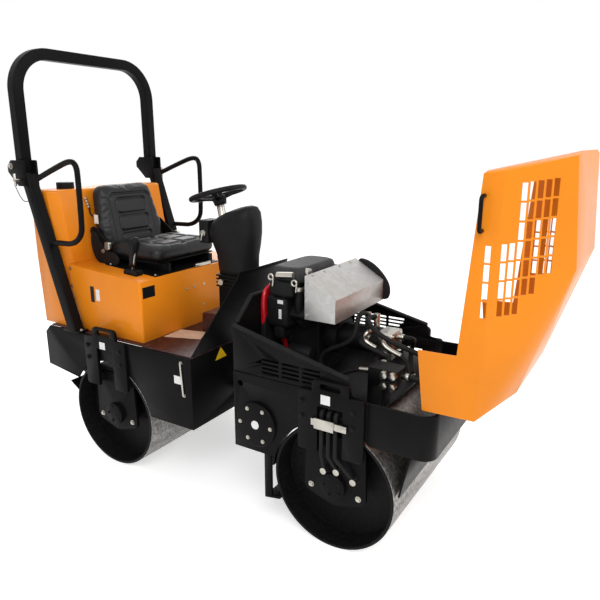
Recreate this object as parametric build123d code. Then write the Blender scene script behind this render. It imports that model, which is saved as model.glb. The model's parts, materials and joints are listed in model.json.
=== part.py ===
"""Small articulated road roller with two steel drums, a folding roll bar and an open engine hood.

Millimetres, +X forward, +Y left, +Z up. Heights are laid out from the frames' top edge. Lengths are
laid out from the rear drum's axle, and for the front frame from the front drum's axle. At the end all is
moved so that the origin is on the ground at the middle of the machine's length.
"""
import os
from math import atan2, cos, degrees, radians, sin

from build123d import *

# Drums
DRUM_RADIUS = 280
DRUM_WIDTH = 870
DRUM_WALL = 14
DRUM_HEAD_RECESS = 108
DRUM_HEAD_WALL = 14
DRUM_EDGE = 3
WHEELBASE = 1315
DRUM_HEADROOM = 140
HUB_SLEEVE_WALL = 24
HUB_SLEEVE_LENGTH = 46
DRUM_INNER = DRUM_RADIUS - DRUM_WALL
AXLE_Z = -DRUM_RADIUS - DRUM_HEADROOM

# Clearances
MOVING_GAP = 6
SHAFT_GAP = 0.4
SIDE_GAP = 1
ARCH_GAP = 15

# Frame plates
PLATE = 12
FRAME_HALF = DRUM_WIDTH / 2 + MOVING_GAP
FRAME_INNER = FRAME_HALF - PLATE
FRAME_TOP = 0
FRAME_BOTTOM = -358
DECK_PLATE = 6
DECK_TOP = FRAME_TOP + DECK_PLATE

# Rear frame outline
REAR_END_X = -490
REAR_END_LOW = -227
REAR_END_CHAMFER = 40
REAR_SLANT_X = -230
REAR_SLANT_Z = -263
REAR_FRONT_X = 570
REAR_CROSS_X = 330

# Drum legs and carriers
LEG_PLATE = 16
LEG_TOP = 58
LEG_NECK_HALF = 84
LEG_NECK_RADIUS = 22
LEG_SHOULDER = 5
LEG_HALF = 150
LEG_BOTTOM = -260
LEG_GAP_HALF = 58
LEG_GAP_TOP = -55
LEG_SLOT_LENGTH = 96
LEG_SLOT_HEIGHT = 26
LEG_CORNER = 16
BUFFER_RADIUS = 28
BUFFER_LENGTH = 34
BUFFER_X = 104
BUFFER_UP = 28
CARRIER_PLATE = 14
CARRIER_EAR = 34
CARRIER_HUB = 96
CARRIER_FOOT_X = 112
CARRIER_FOOT_DROP = 30
AXLE_RADIUS = 60
MOTOR_RADIUS = 58
MOTOR_LENGTH = 24

# Centre joint
YOKE_REACH = 87.5
PIVOT_X = REAR_FRONT_X + YOKE_REACH
ROLL_Z = -220
YOKE_PLATE = 28
YOKE_RADIUS = 52
YOKE_SPREAD = 104
PIN_RADIUS = 22
SLEEVE_RADIUS = 44
TRUNNION_RADIUS = 40
BEARING_RADIUS = 78
BEARING_LENGTH = 60
FRONT_REAR_X = -495

# Steering cylinder
STEER_ARM = 130
ARM_PLATE = 22
BARREL_RADIUS = 27
BARREL_BORE = 20
BARREL_GAP = 95
BARREL_FRONT_X = PIVOT_X - BARREL_GAP
BARREL_LENGTH = 225
ROD_RADIUS = 12
ROD_EYE_RADIUS = 26
ROD_EYE_HEIGHT = 26
ROD_INSIDE = 110
PISTON_LENGTH = 26

# Guard plate and operator's step
GUARD_TOP_X = 690
GUARD_TOP_Z = 383
GUARD_TOP_HALF = 205
GUARD_SHEET = 8
GUARD_SIDE = 24
STEP_REAR_X = 348
STEP_FRONT_X = 556
STEP_HALF = 95
STEP_TOP = 112
STEP_CORNER = 12

# Seat box and water tank
BOX_FRONT_X = 225
BOX_REAR_X = -300
BOX_STEP = 4
BOX_FRONT_TOP = 314
BOX_REAR_TOP = 350
BOX_SHEET = 4
BOX_CORNER = 14
TANK_FRONT_X = -308
TANK_TOP_FRONT_X = -368
TANK_TOP_REAR_X = -545
TANK_REAR_X = -530
TANK_BEND_Z = 362
TANK_TOP = 728
TANK_INSET = 39
TANK_HALF = FRAME_HALF - TANK_INSET
BOX_HALF = TANK_HALF - BOX_STEP
TANK_CHAMFER = 46
TANK_CORNER = 16
CAP_RADIUS = 46
CAP_HEIGHT = 34
CAP_INSET = 152
CAP_Y = CAP_INSET - TANK_HALF

# Seat
SEAT_HALF = 240
SEAT_REAR_X = -262
SEAT_FRONT_X = 195
PAN_Z = 368
PAN_INSET = 25
CUSHION_HEIGHT = 74
BACK_TOP = 752
BACK_THICK = 78
BACK_CORNER = 62
CUSHION_CORNER = 48
CUSHION_EDGE = 22
BACK_LEAN = 9
BACK_WAIST = 0.35
BACK_TAPER = 42
BACK_EDGE = 18
HINGE_SHEET = 6
HINGE_LOW_RADIUS = 46
HINGE_HIGH_RADIUS = 28
HINGE_RISE = 130
SHELL_SHEET = 8
RAIL_HALF = 165
RAIL_WIDTH = 32

# Steering column
WHEEL_X = 409
WHEEL_Z = 703
WHEEL_TILT = 12
WHEEL_RADIUS = 178
WHEEL_RIM = 13
WHEEL_HUB = 34
WHEEL_HUB_HEIGHT = 40
SPOKE_HALF = 13
SPOKE_SHEET = 7
COLUMN_RADIUS = 20
SHROUD_HALF = 116
SHROUD_NECK = 84
SHROUD_EDGE = 26
SHROUD_WALL = 10
SHROUD_BACK_X = 408
SHROUD_FACE_X = 642
SHROUD_REAR_X = 372
SHROUD_FRONT_X = 670
SHROUD_CROWN_X = 609
STALK_REAR_X = 440
STALK_FRONT_X = 578
STALK_HALF = 62
STALK_HEIGHT = 208
SHROUD_LOW = STEP_TOP + STALK_HEIGHT
SHROUD_BELLY = 135
SHROUD_WAIST = SHROUD_LOW + SHROUD_BELLY
SHROUD_DROP = 19
SHROUD_TOP = WHEEL_Z - SHROUD_DROP
SHROUD_SLOPE = 97
SHROUD_BROW = SHROUD_TOP - SHROUD_SLOPE
BELLOWS_COUNT = 4
BELLOWS_PITCH = 18
BELLOWS_PROUD = 9
POD_HALF = 52
POD_HEIGHT = 118
POD_PROUD = 58

# Drive lever
LEVER_X = 90
LEVER_Y = -310
LEVER_LEAN = 32
LEVER_TOP = 496
LEVER_ROD = 8
LEVER_KNOB = 21
LEVER_GRIP = 62
LEVER_GATE = 44

# Roll bar
POST_SIZE = 60
POST_OUT = 1
POST_Y = FRAME_HALF + POST_OUT
POST_FOOT_X = -230
POST_TOP_X = -490
POST_TOP = 812
POST_CORNER = 8
FOOT_PLATE = 12
FOOT_REACH = 62
HOOP_X = -512
HOOP_TOP = 1440
HOOP_RADIUS = 190
FOLD_X = -566
FOLD_Z = 852
FOLD_PLATE = 10
FOLD_EAR = 30
FOLD_PIN = 10
LOCK_RADIUS = 8
LOCK_REACH = 44
LOCK_HANDLE = 62
LOCK_DROP = 26
RAIL_TUBE = 14
RAIL_BEND = 50
RAIL_HIGH = 788
RAIL_LOW = 468
RAIL_CORNERS = ((-171, 872), (-97, 772), (-110, 601), (-208, 480))

# Front frame upper structure
PANEL_SHEET = 5
PANEL_INSET = 4
PANEL_OUT = FRAME_HALF - PANEL_INSET
PANEL_STEP = 16
RAIL_REAR_Z = 204
RAIL_FRONT_X = 71
RAIL_FRONT_Z = 72
SEAL_WIDTH = 22
SEAL_HEIGHT = 10
SEAL_INNER = FRAME_HALF - SEAL_WIDTH
BULKHEAD_HALF = 300
BULKHEAD_TOP = 306
LOUVRE_LENGTH = 88
LOUVRE_HEIGHT = 10
LOUVRE_ROWS = 4
LOUVRE_COLUMNS = 3
LOUVRE_ROW_PITCH = 19
LOUVRE_X = -343
LOUVRE_Z = 24
COVER_RADIUS = 103
COVER_X = -370
COVER_Z = -222
COVER_PROUD = 16
BED_Z = -100
LASH_RADIUS = 14
LASH_INSET = 38
LASH_Z = -50
HOSE_WINDOW_HALF = 52
HOSE_WINDOW_LOW = -92
HOSE_WINDOW_TOP = -60

# Bumper
BUMPER_REAR_X = 157
BUMPER_FRONT_X = 423
BUMPER_LOW = -180
BUMPER_RADIUS = 60
SHELF_X = 313

# Hood, drawn closed
HOOD_HALF = 423
HOOD_SHEET = 4
HOOD_OPEN = 80.9
HINGE_X = 388
HINGE_Z = -58
HINGE_PIN = 8
HINGE_RING = 17
HINGE_Y = 250
HINGE_ARM = 12
HOOD_REAR_X = -518
HOOD_REAR_Z = 226
HOOD_TOP_REAR_X = -539
HOOD_TOP_REAR_Z = 484
HOOD_CREST_X = -158
HOOD_CREST_Z = 452
HOOD_NOSE_X = 282
HOOD_NOSE_Z = 232
HOOD_BROW_X = 336
HOOD_BROW_Z = 122
HOOD_FOOT_X = 309
HOOD_FOOT_Z = -68
HOOD_CHEEK_X = 78
HOOD_CHEEK_Z = -59
HOOD_NOTCH_X = 97
HOOD_NOTCH_Z = 81
HOOD_FOLD_X = -510
HOOD_FOLD_Z = 296
HOOD_TOP_HALF = 279
HOOD_CREST_HALF = 252
HOOD_CORNER = 72
HOOD_REAR_EASE = 12
STEEP = 0.7
VENT_LENGTH = 56
VENT_HEIGHT = 15
VENT_PITCH_X = 62
VENT_PITCH_Z = 21
VENT_SLOPE = 0.16
VENT_X = -468
VENT_Z = 287
VENT_ROWS = ((2, 7), (2, 7), (2, 7), (0, 7), (0, 7), (0, 5), (0, 3))
STRIP_VENT_DROP = 37
STRIP_VENT_HEIGHT = 19
STRIP_VENT_FIRST = 3
HANDLE_X = -385
HANDLE_Z = 212
HANDLE_LENGTH = 112
HANDLE_REACH = 34
HANDLE_ROD = 7

# Engine, muffler shield and hydraulics
ENGINE_REAR_X = -435
ENGINE_FRONT_X = -245
ENGINE_Z = 100
CRANK_HALF = 120
FAN_RADIUS = 150
FAN_DEPTH = 52
FAN_RISE = 20
CYLINDER_RADIUS = 52
CYLINDER_LEAN = 45
CYLINDER_LENGTH = 128
CYLINDER_X = -314
FIN_RADIUS = 66
FIN_COUNT = 6
FIN_PITCH = 14
FIN_SHEET = 5
ROCKER_LENGTH = 116
ROCKER_WIDTH = 128
ROCKER_HEIGHT = 44
CLEANER_TOP = 436
CLEANER_HEIGHT = 74
CLEANER_LENGTH = 178
CLEANER_HALF = 150
SHIELD_FRONT_X = -94
SHIELD_LOW = 226
SHIELD_REAR_TOP = 419
SHIELD_FRONT_TOP = 328
SHIELD_RIGHT_Y = -250
SHIELD_LEFT_Y = 236
SHIELD_SHEET = 4
TRIM_PROUD = 10
TRIM_WIDTH = 18
BELL_RADIUS = 92
BELL_LENGTH = 70
PUMP_RADIUS = 58
PUMP_LENGTH = 190
VALVE_X = 150
VALVE_Y = -250
VALVE_LENGTH = 130
VALVE_WIDTH = 90
VALVE_HEIGHT = 76
VALVE_Z = 90

# Engine trimmings
EYE_RADIUS = 16
EYE_WIRE = 5
EYE_Y = -168
EYE_Z = 372
EYE_SPREAD = 48
NECK_RADIUS = 20
NECK_TOP = 330
NECK_Y = -182
NECK_CAP = 24
STARTER_RADIUS = 38
STARTER_Z = 30
FILTER_RADIUS = 36
FILTER_LENGTH = 78
FILTER_Z = -38
CANISTER_RADIUS = 18
CANISTER_Z = 416

# Hoses
HOSE_RADIUS = 11
HOSE_BEND = 26
FITTING_RADIUS = 14
FITTING_LENGTH = 22
RISER_Z = 226
RISER_SPACING = 44
HEX_RADIUS = 16
HEX_LENGTH = 24
MOTOR_HOSE_RADIUS = 9
MOTOR_HOSE_BEND = 18
MOTOR_HOSE_Z = -76
MOTOR_HOSE_OUT = 10
MOTOR_HOSE_FOOT_Y = 400
MOTOR_PORTS = ((-40, -38, -351), (-8, 23, -339), (24, 100, -361))
MOTOR_FITTING = 34
CLAMP_LOW = -145
CLAMP_HIGH = -100
CLAMP_REAR_X = -62
CLAMP_FRONT_X = 27
CLAMP_STRAP_HALF = 80
CLAMP_STRAP = 8
CLAMP_SCREW_X = 70

# Scrapers
SCRAPER_SHEET = 8
SCRAPER_HALF = 410
SCRAPER_GAP = 6
SCRAPER_ARM_Y = 300
SCRAPER_ARM = 14
SCRAPER_ROOT = 80
SCRAPER_FOOT = 22
BACK_BLADE_TURN = 168
BACK_BLADE_LEAN = 148
BACK_BLADE_LENGTH = 92
FORE_BLADE_TURN = 20
FORE_BLADE_LEAN = 52
FORE_BLADE_LENGTH = 72
LOW_BLADE_TURN = 207
LOW_BLADE_LEAN = 190
LOW_BLADE_LENGTH = 80
HANGER_WIDTH = 36
NOSE_BLADE_TURN = 8
NOSE_BLADE_LEAN = 78


nodes = {}


def polygon(*points):
    """Closed outline through the points, in its own two coordinates."""
    return Polygon(*points, align=None)


def slab_xz(outline, y_low, y_high):
    """Outline drawn in X and Z, thick from y_low to y_high."""
    return extrude(Plane.XZ.offset(-y_high) * outline, amount=y_high - y_low, dir=(0, -1, 0))


def slab_yz(outline, x_low, x_high):
    """Outline drawn in Y and Z, thick from x_low to x_high."""
    return extrude(Plane.YZ.offset(x_low) * outline, amount=x_high - x_low, dir=(1, 0, 0))


def slab_xy(outline, z_low, z_high):
    """Outline drawn in X and Y, thick from z_low to z_high."""
    return extrude(Plane.XY.offset(z_low) * outline, amount=z_high - z_low, dir=(0, 0, 1))


def block(x_low, x_high, y_low, y_high, z_low, z_high):
    """Plain block between six faces."""
    size = (x_high - x_low, y_high - y_low, z_high - z_low)
    middle = ((x_high + x_low) / 2, (y_high + y_low) / 2, (z_high + z_low) / 2)
    return Pos(*middle) * Box(*size)


def rod(radius, start, end):
    """Round bar between two points."""
    axis = Vector(*end) - Vector(*start)
    plane = Plane(origin=start, z_dir=axis.normalized())
    return extrude(plane * Circle(radius), amount=axis.length)


def rod_y(radius, x, z, y_low, y_high):
    """Round bar across the machine."""
    return rod(radius, (x, y_low, z), (x, y_high, z))


def tube(radius, points, bends):
    """Round bar bent along the points."""
    path = FilletPolyline(*points, radius=bends)
    start = Plane(origin=path @ 0, z_dir=path % 0)
    return sweep(start * Circle(radius), path=path)


def hose_bar(radius, points):
    """Round bar that runs smoothly through the points."""
    path = Spline(*points)
    start = Plane(origin=path @ 0, z_dir=path % 0)
    return sweep(start * Circle(radius), path=path)


def facet(middle, *points):
    """Plane through three points, facing away from the middle of a form."""
    first, second, third = [Vector(*point) for point in points]
    normal = (second - first).cross(third - first)
    if normal.dot(first - middle) < 0:
        normal = normal * -1
    return Plane(origin=first, z_dir=normal)


def mirrored(solid):
    """The same piece on the other side of the machine."""
    return mirror(solid, about=Plane.XZ)


def pair(solid):
    """A piece and its mirror image."""
    return [solid, mirrored(solid)]


def add(name, *solids):
    """Keep the solids of one node."""
    nodes[name] = list(solids)


def drum():
    """Rolling drum: a wide shell with two recessed heads on hub sleeves."""
    half = DRUM_WIDTH / 2
    shell = rod_y(DRUM_RADIUS, 0, AXLE_Z, -half, half)
    rims = shell.edges().filter_by(GeomType.CIRCLE)
    shell = chamfer(rims, DRUM_EDGE) - rod_y(DRUM_INNER, 0, AXLE_Z, -half, half)
    head_out = half - DRUM_HEAD_RECESS
    bore = AXLE_RADIUS + SHAFT_GAP
    for side in (-1, 1):
        head = rod_y(DRUM_INNER, 0, AXLE_Z, side * (head_out - DRUM_HEAD_WALL), side * head_out)
        sleeve = rod_y(bore + HUB_SLEEVE_WALL, 0, AXLE_Z,
                       side * (head_out - HUB_SLEEVE_LENGTH), side * (head_out + PLATE))
        shell += head + sleeve
    return shell - rod_y(bore, 0, AXLE_Z, -half, half)


def leg():
    """Inverted-U leg plate with its lifting slot, on the right side of the frame."""
    neck = polygon((-LEG_NECK_HALF, LEG_GAP_TOP), (-LEG_NECK_HALF, LEG_TOP),
                   (LEG_NECK_HALF, LEG_TOP), (LEG_NECK_HALF, LEG_GAP_TOP))
    neck = fillet(neck.vertices().group_by(Axis.Y)[-1], LEG_NECK_RADIUS)
    body = polygon((-LEG_HALF, LEG_BOTTOM), (-LEG_HALF, LEG_SHOULDER),
                   (LEG_HALF, LEG_SHOULDER), (LEG_HALF, LEG_BOTTOM))
    body = fillet(body.vertices(), LEG_CORNER)
    gap_height = LEG_GAP_TOP - LEG_BOTTOM + LEG_CORNER
    gap = Pos(0, LEG_GAP_TOP - gap_height / 2) * Rectangle(2 * LEG_GAP_HALF, gap_height)
    slot_z = (LEG_TOP + LEG_SHOULDER) / 2
    slot = Pos(0, slot_z) * SlotOverall(LEG_SLOT_LENGTH, LEG_SLOT_HEIGHT)
    outline = neck + body - gap - slot
    return slab_xz(outline, -FRAME_HALF - LEG_PLATE, -FRAME_HALF)


def buffers():
    """Rubber buffers between a right-hand leg and its carrier."""
    z = LEG_BOTTOM + BUFFER_UP
    return [rod_y(BUFFER_RADIUS, side * BUFFER_X, z, -FRAME_HALF, -FRAME_HALF + BUFFER_LENGTH)
            for side in (-1, 1)]


def carrier():
    """Right-hand carrier plate inside the drum's end, with its stub axle and hub motor."""
    outer_y = -FRAME_HALF + BUFFER_LENGTH
    inner_y = outer_y + CARRIER_PLATE
    ears = Sketch()
    for side in (-1, 1):
        ears += Pos(side * BUFFER_X, LEG_BOTTOM + BUFFER_UP) * Circle(CARRIER_EAR)
        ears += Pos(side * CARRIER_FOOT_X, AXLE_Z - CARRIER_FOOT_DROP) * Circle(CARRIER_EAR)
    outline = make_hull((ears + Pos(0, AXLE_Z) * Circle(CARRIER_HUB)).edges())
    plate = slab_xz(outline, outer_y, inner_y)
    head_inner = -DRUM_WIDTH / 2 + DRUM_HEAD_RECESS + HUB_SLEEVE_LENGTH
    axle = rod_y(AXLE_RADIUS, 0, AXLE_Z, inner_y, head_inner)
    motor = rod_y(MOTOR_RADIUS, 0, AXLE_Z, outer_y - MOTOR_LENGTH, outer_y)
    return plate + axle + motor


def drum_support(prefix):
    """Legs, buffers and carriers of one drum."""
    add(prefix + "_legs", *pair(leg()))
    right = buffers()
    add(prefix + "_buffers", *right, *[mirrored(piece) for piece in right])
    add(prefix + "_carriers", *pair(carrier()))
    add(prefix + "_drum", drum())


def arch():
    """Round clearance over a drum, for a side plate's outline."""
    return Pos(0, AXLE_Z) * Circle(DRUM_RADIUS + ARCH_GAP)


def rear_chassis():
    """Welded rear frame: two side plates, front and rear plates and a cross plate."""
    outline = polygon((REAR_END_X, REAR_END_LOW), (REAR_SLANT_X, REAR_SLANT_Z), (-REAR_SLANT_X, FRAME_BOTTOM),
                      (REAR_FRONT_X, FRAME_BOTTOM), (REAR_FRONT_X, FRAME_TOP),
                      (REAR_END_X + REAR_END_CHAMFER, FRAME_TOP), (REAR_END_X, FRAME_TOP - REAR_END_CHAMFER))
    side = slab_xz(outline - arch(), -FRAME_HALF, -FRAME_INNER)
    front = block(REAR_FRONT_X - PLATE, REAR_FRONT_X, -FRAME_INNER, FRAME_INNER, FRAME_BOTTOM, FRAME_TOP)
    window = rod(BARREL_RADIUS + MOVING_GAP, (REAR_FRONT_X - PLATE, STEER_ARM, cylinder_z()),
                 (REAR_FRONT_X, STEER_ARM, cylinder_z()))
    rear = block(REAR_END_X, REAR_END_X + PLATE, -FRAME_INNER, FRAME_INNER,
                 REAR_END_LOW, FRAME_TOP - REAR_END_CHAMFER)
    cross = block(REAR_CROSS_X - PLATE, REAR_CROSS_X, -FRAME_INNER, FRAME_INNER, REAR_SLANT_Z, FRAME_TOP)
    return side + mirrored(side) + front - window + rear + cross


def cylinder_z():
    """Height of the steering cylinder's centre line, above the knuckle's arm."""
    return ROLL_Z + ARM_PLATE / 2 + SIDE_GAP + ROD_EYE_HEIGHT / 2


def guard_plate():
    """Leaning front guard, wide at the deck and narrow at its top."""
    lean = polygon((REAR_FRONT_X - GUARD_SHEET, DECK_TOP), (REAR_FRONT_X, DECK_TOP),
                   (GUARD_TOP_X, GUARD_TOP_Z), (GUARD_TOP_X - GUARD_SHEET, GUARD_TOP_Z))
    face = polygon((-FRAME_INNER, DECK_TOP), (FRAME_INNER, DECK_TOP),
                   (GUARD_TOP_HALF, GUARD_TOP_Z - GUARD_SIDE), (GUARD_TOP_HALF, GUARD_TOP_Z),
                   (-GUARD_TOP_HALF, GUARD_TOP_Z), (-GUARD_TOP_HALF, GUARD_TOP_Z - GUARD_SIDE))
    return slab_xz(lean, -FRAME_HALF, FRAME_HALF) & slab_yz(face, REAR_FRONT_X - PLATE, GUARD_TOP_X)


def floor_step():
    """Raised box on the deck under the steering column."""
    box = block(STEP_REAR_X, STEP_FRONT_X, -STEP_HALF, STEP_HALF, DECK_TOP, STEP_TOP)
    top_edges = box.faces().sort_by(Axis.Z)[-1].edges()
    return fillet(top_edges, STEP_CORNER)


def seat_box():
    """Hollow sheet box under the seat, open at the bottom."""
    outline = polygon((BOX_REAR_X, DECK_TOP), (BOX_FRONT_X, DECK_TOP),
                      (BOX_FRONT_X, BOX_FRONT_TOP), (BOX_REAR_X, BOX_REAR_TOP))
    box = slab_xz(outline, -BOX_HALF, BOX_HALF)
    uprights = box.edges().filter_by(Axis.Z)
    box = fillet(uprights, BOX_CORNER)
    return offset(box, amount=-BOX_SHEET, openings=box.faces().sort_by(Axis.Z)[0])


def water_tank():
    """Moulded tank behind the seat with chamfered front corners."""
    outline = polygon((TANK_REAR_X, DECK_TOP), (TANK_FRONT_X, DECK_TOP), (TANK_FRONT_X, TANK_BEND_Z),
                      (TANK_TOP_FRONT_X, TANK_TOP), (TANK_TOP_REAR_X, TANK_TOP),
                      (TANK_TOP_REAR_X, TANK_BEND_Z))
    tank = slab_xz(outline, -TANK_HALF, TANK_HALF)
    middle = Vector((TANK_FRONT_X + TANK_REAR_X) / 2, 0, TANK_BEND_Z)
    inner = TANK_HALF - TANK_CHAMFER
    for side in (-1, 1):
        corner = (TANK_FRONT_X - TANK_CHAMFER, side * TANK_HALF, TANK_BEND_Z)
        fold = (TANK_FRONT_X, side * inner, TANK_BEND_Z)
        for third in ((TANK_FRONT_X, side * inner, DECK_TOP), (TANK_TOP_FRONT_X, side * inner, TANK_TOP)):
            tank = split(tank, bisect_by=facet(middle, corner, fold, third), keep=Keep.BOTTOM)
    return fillet(tank.faces().sort_by(Axis.Z)[-1].edges(), TANK_CORNER)


def tank_cap():
    """Screw cap on the tank's top, with a grip groove."""
    x = (TANK_TOP_FRONT_X + TANK_TOP_REAR_X) / 2
    cap = rod(CAP_RADIUS, (x, CAP_Y, TANK_TOP), (x, CAP_Y, TANK_TOP + CAP_HEIGHT))
    return fillet(cap.edges().sort_by(Axis.Z)[-1], DRUM_EDGE)


def post_bar():
    """Leaning square bar of the right post, with sharp edges."""
    half = POST_SIZE / 2
    low = DECK_TOP + FOOT_PLATE
    outline = polygon((POST_FOOT_X - half, low), (POST_FOOT_X + half, low),
                      (POST_TOP_X + half, POST_TOP), (POST_TOP_X - half, POST_TOP))
    return slab_xz(outline, -POST_Y - half, -POST_Y + half)


def post():
    """Right lower post of the roll bar with its foot plate and fold plates."""
    half = POST_SIZE / 2
    low = DECK_TOP + FOOT_PLATE
    post_tube = post_bar()
    long_edges = [edge for edge in post_tube.edges() if edge.length > POST_TOP - low]
    post_tube = fillet(long_edges, POST_CORNER)
    foot = block(POST_FOOT_X - FOOT_REACH, POST_FOOT_X + FOOT_REACH,
                 -POST_Y - half, -POST_Y + half, DECK_TOP, low)
    plate = fold_plate()
    for y in (-POST_Y - half - FOLD_PLATE, -POST_Y + half):
        post_tube += slab_xz(plate, y, y + FOLD_PLATE)
    pin = rod_y(FOLD_PIN, FOLD_X, FOLD_Z, -POST_Y - half - FOLD_PLATE, -POST_Y + half + FOLD_PLATE)
    return post_tube + foot + pin


def fold_plate():
    """Outline of the plates that hold the hoop's fold pin."""
    half = POST_SIZE / 2
    corners = polygon((POST_TOP_X - half, POST_TOP - POST_SIZE), (POST_TOP_X + half, POST_TOP - POST_SIZE),
                      (POST_TOP_X + half, FOLD_Z + half), (FOLD_X, FOLD_Z + half),
                      (FOLD_X - half, FOLD_Z), (FOLD_X - half, FOLD_Z - half))
    return fillet(corners.vertices(), POST_CORNER)


def hoop():
    """Upper hoop of the roll bar with the ears that turn on the fold pins."""
    half = POST_SIZE / 2 - SIDE_GAP
    low = POST_TOP + MOVING_GAP
    top = HOOP_TOP - half
    path = FilletPolyline((HOOP_X, -POST_Y, low), (HOOP_X, -POST_Y, top), (HOOP_X, POST_Y, top),
                          (HOOP_X, POST_Y, low), radius=HOOP_RADIUS)
    section = fillet(Rectangle(2 * half, 2 * half).vertices(), POST_CORNER)
    bar = sweep(Plane(origin=path @ 0, x_dir=(1, 0, 0), z_dir=path % 0) * section, path=path)
    ring = Pos(FOLD_X, FOLD_Z) * Circle(FOLD_EAR - SIDE_GAP)
    web = polygon((FOLD_X, FOLD_Z - FOLD_EAR + SIDE_GAP), (HOOP_X, FOLD_Z - FOLD_EAR + SIDE_GAP),
                  (HOOP_X, FOLD_Z + FOLD_EAR), (FOLD_X, FOLD_Z + FOLD_EAR - SIDE_GAP))
    for side in (-1, 1):
        y = side * POST_Y
        ear = slab_xz(ring + web, y - half, y + half)
        bar += ear
        bar -= rod_y(FOLD_PIN + SHAFT_GAP, FOLD_X, FOLD_Z, y - POST_SIZE, y + POST_SIZE)
    return bar


def lock_pin():
    """Right lock pin of the roll bar, with its cross handle."""
    face_y = -POST_Y - POST_SIZE / 2 - FOLD_PLATE
    z = POST_TOP - LOCK_DROP
    pin = rod_y(LOCK_RADIUS, POST_TOP_X, z, face_y - LOCK_REACH, face_y)
    handle_y = face_y - LOCK_REACH + LOCK_RADIUS
    low = (POST_TOP_X, handle_y, z - LOCK_HANDLE / 2)
    high = (POST_TOP_X, handle_y, z + LOCK_HANDLE / 2)
    return pin + rod(LOCK_RADIUS - SIDE_GAP, low, high)


def handrail():
    """Right bent handrail from the post's front face and back to it."""
    def post_front(z):
        share = (z - DECK_TOP - FOOT_PLATE) / (POST_TOP - DECK_TOP - FOOT_PLATE)
        return POST_FOOT_X + (POST_TOP_X - POST_FOOT_X) * share + POST_SIZE / 2
    outline = [(post_front(RAIL_HIGH) - RAIL_TUBE, RAIL_HIGH), *RAIL_CORNERS,
               (post_front(RAIL_LOW) - RAIL_TUBE, RAIL_LOW)]
    bar = tube(RAIL_TUBE, [(x, -POST_Y, z) for x, z in outline], RAIL_BEND)
    return bar - post_bar()


def box_top(x):
    """Height of the seat box's sloping top."""
    share = (x - BOX_REAR_X) / (BOX_FRONT_X - BOX_REAR_X)
    return BOX_REAR_TOP + (BOX_FRONT_TOP - BOX_REAR_TOP) * share


def seat():
    """Seat rails, pan, cushion and backrest."""
    rails = []
    outline = polygon((SEAT_REAR_X, box_top(SEAT_REAR_X)), (SEAT_FRONT_X, box_top(SEAT_FRONT_X)),
                      (SEAT_FRONT_X, PAN_Z), (SEAT_REAR_X, PAN_Z))
    for side in (-1, 1):
        y = side * RAIL_HALF
        rails.append(slab_xz(outline, y - RAIL_WIDTH / 2, y + RAIL_WIDTH / 2))
    pan_top = PAN_Z + SHELL_SHEET
    pan_half = SEAT_HALF - PAN_INSET
    pan = block(SEAT_REAR_X, SEAT_FRONT_X - PAN_INSET, -pan_half, pan_half, PAN_Z, pan_top)
    cushion = block(SEAT_REAR_X + BACK_THICK, SEAT_FRONT_X, -SEAT_HALF, SEAT_HALF,
                    pan_top, pan_top + CUSHION_HEIGHT)
    cushion = fillet(cushion.edges().filter_by(Axis.Z), CUSHION_CORNER)
    cushion = fillet(cushion.faces().sort_by(Axis.Z)[-1].edges(), CUSHION_EDGE)
    waist = pan_top + (BACK_TOP - pan_top) * BACK_WAIST
    low_half = SEAT_HALF - BACK_TAPER / 2
    top_half = SEAT_HALF - BACK_TAPER
    face = polygon((-low_half, pan_top), (low_half, pan_top), (SEAT_HALF, waist), (top_half, BACK_TOP),
                   (-top_half, BACK_TOP), (-SEAT_HALF, waist))
    face = fillet(face.vertices().group_by(Axis.Y)[-1], BACK_CORNER)
    back = slab_yz(face, SEAT_REAR_X, SEAT_REAR_X + BACK_THICK)
    back = fillet(back.faces().sort_by(Axis.X)[-1].edges(), BACK_EDGE)
    back = back.rotate(Axis((SEAT_REAR_X, 0, pan_top), (0, 1, 0)), -BACK_LEAN)
    turn = SEAT_REAR_X + BACK_THICK
    ends = Pos(turn, pan_top + HINGE_LOW_RADIUS) * Circle(HINGE_LOW_RADIUS)
    ends += Pos(turn - BACK_THICK, pan_top + HINGE_RISE) * Circle(HINGE_HIGH_RADIUS)
    hinge = slab_xz(make_hull(ends.edges()), -SEAT_HALF - HINGE_SHEET, -SEAT_HALF)
    add("seat_rails", *rails, *pair(hinge))
    add("seat_pan", pan)
    add("seat_cushion", cushion)
    add("seat_backrest", back)


def wheel_point(rise):
    """Point on the steering axis, that far above the wheel's rim plane."""
    tilt = radians(WHEEL_TILT)
    return Vector(WHEEL_X - rise * sin(tilt), 0, WHEEL_Z + rise * cos(tilt))


def shroud_form(inset):
    """Form of the column's moulded cover, bulging above its waist and drawn in by the inset."""
    side = polygon((SHROUD_BACK_X, SHROUD_LOW), (SHROUD_FACE_X, SHROUD_LOW), (SHROUD_FACE_X, SHROUD_WAIST),
                   (SHROUD_FRONT_X, SHROUD_BROW), (SHROUD_CROWN_X, SHROUD_TOP),
                   (SHROUD_REAR_X, SHROUD_BROW), (SHROUD_REAR_X, SHROUD_WAIST))
    face = polygon((-SHROUD_NECK, SHROUD_LOW), (SHROUD_NECK, SHROUD_LOW), (SHROUD_HALF, SHROUD_WAIST),
                   (SHROUD_HALF, SHROUD_BROW), (SHROUD_NECK, SHROUD_TOP), (-SHROUD_NECK, SHROUD_TOP),
                   (-SHROUD_HALF, SHROUD_BROW), (-SHROUD_HALF, SHROUD_WAIST))
    side = offset(side, amount=-inset, kind=Kind.INTERSECTION) if inset else side
    face = offset(face, amount=-inset, kind=Kind.INTERSECTION) if inset else face
    return slab_xz(side, -SHROUD_HALF, SHROUD_HALF) & slab_yz(face, SHROUD_REAR_X, SHROUD_FRONT_X)


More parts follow.
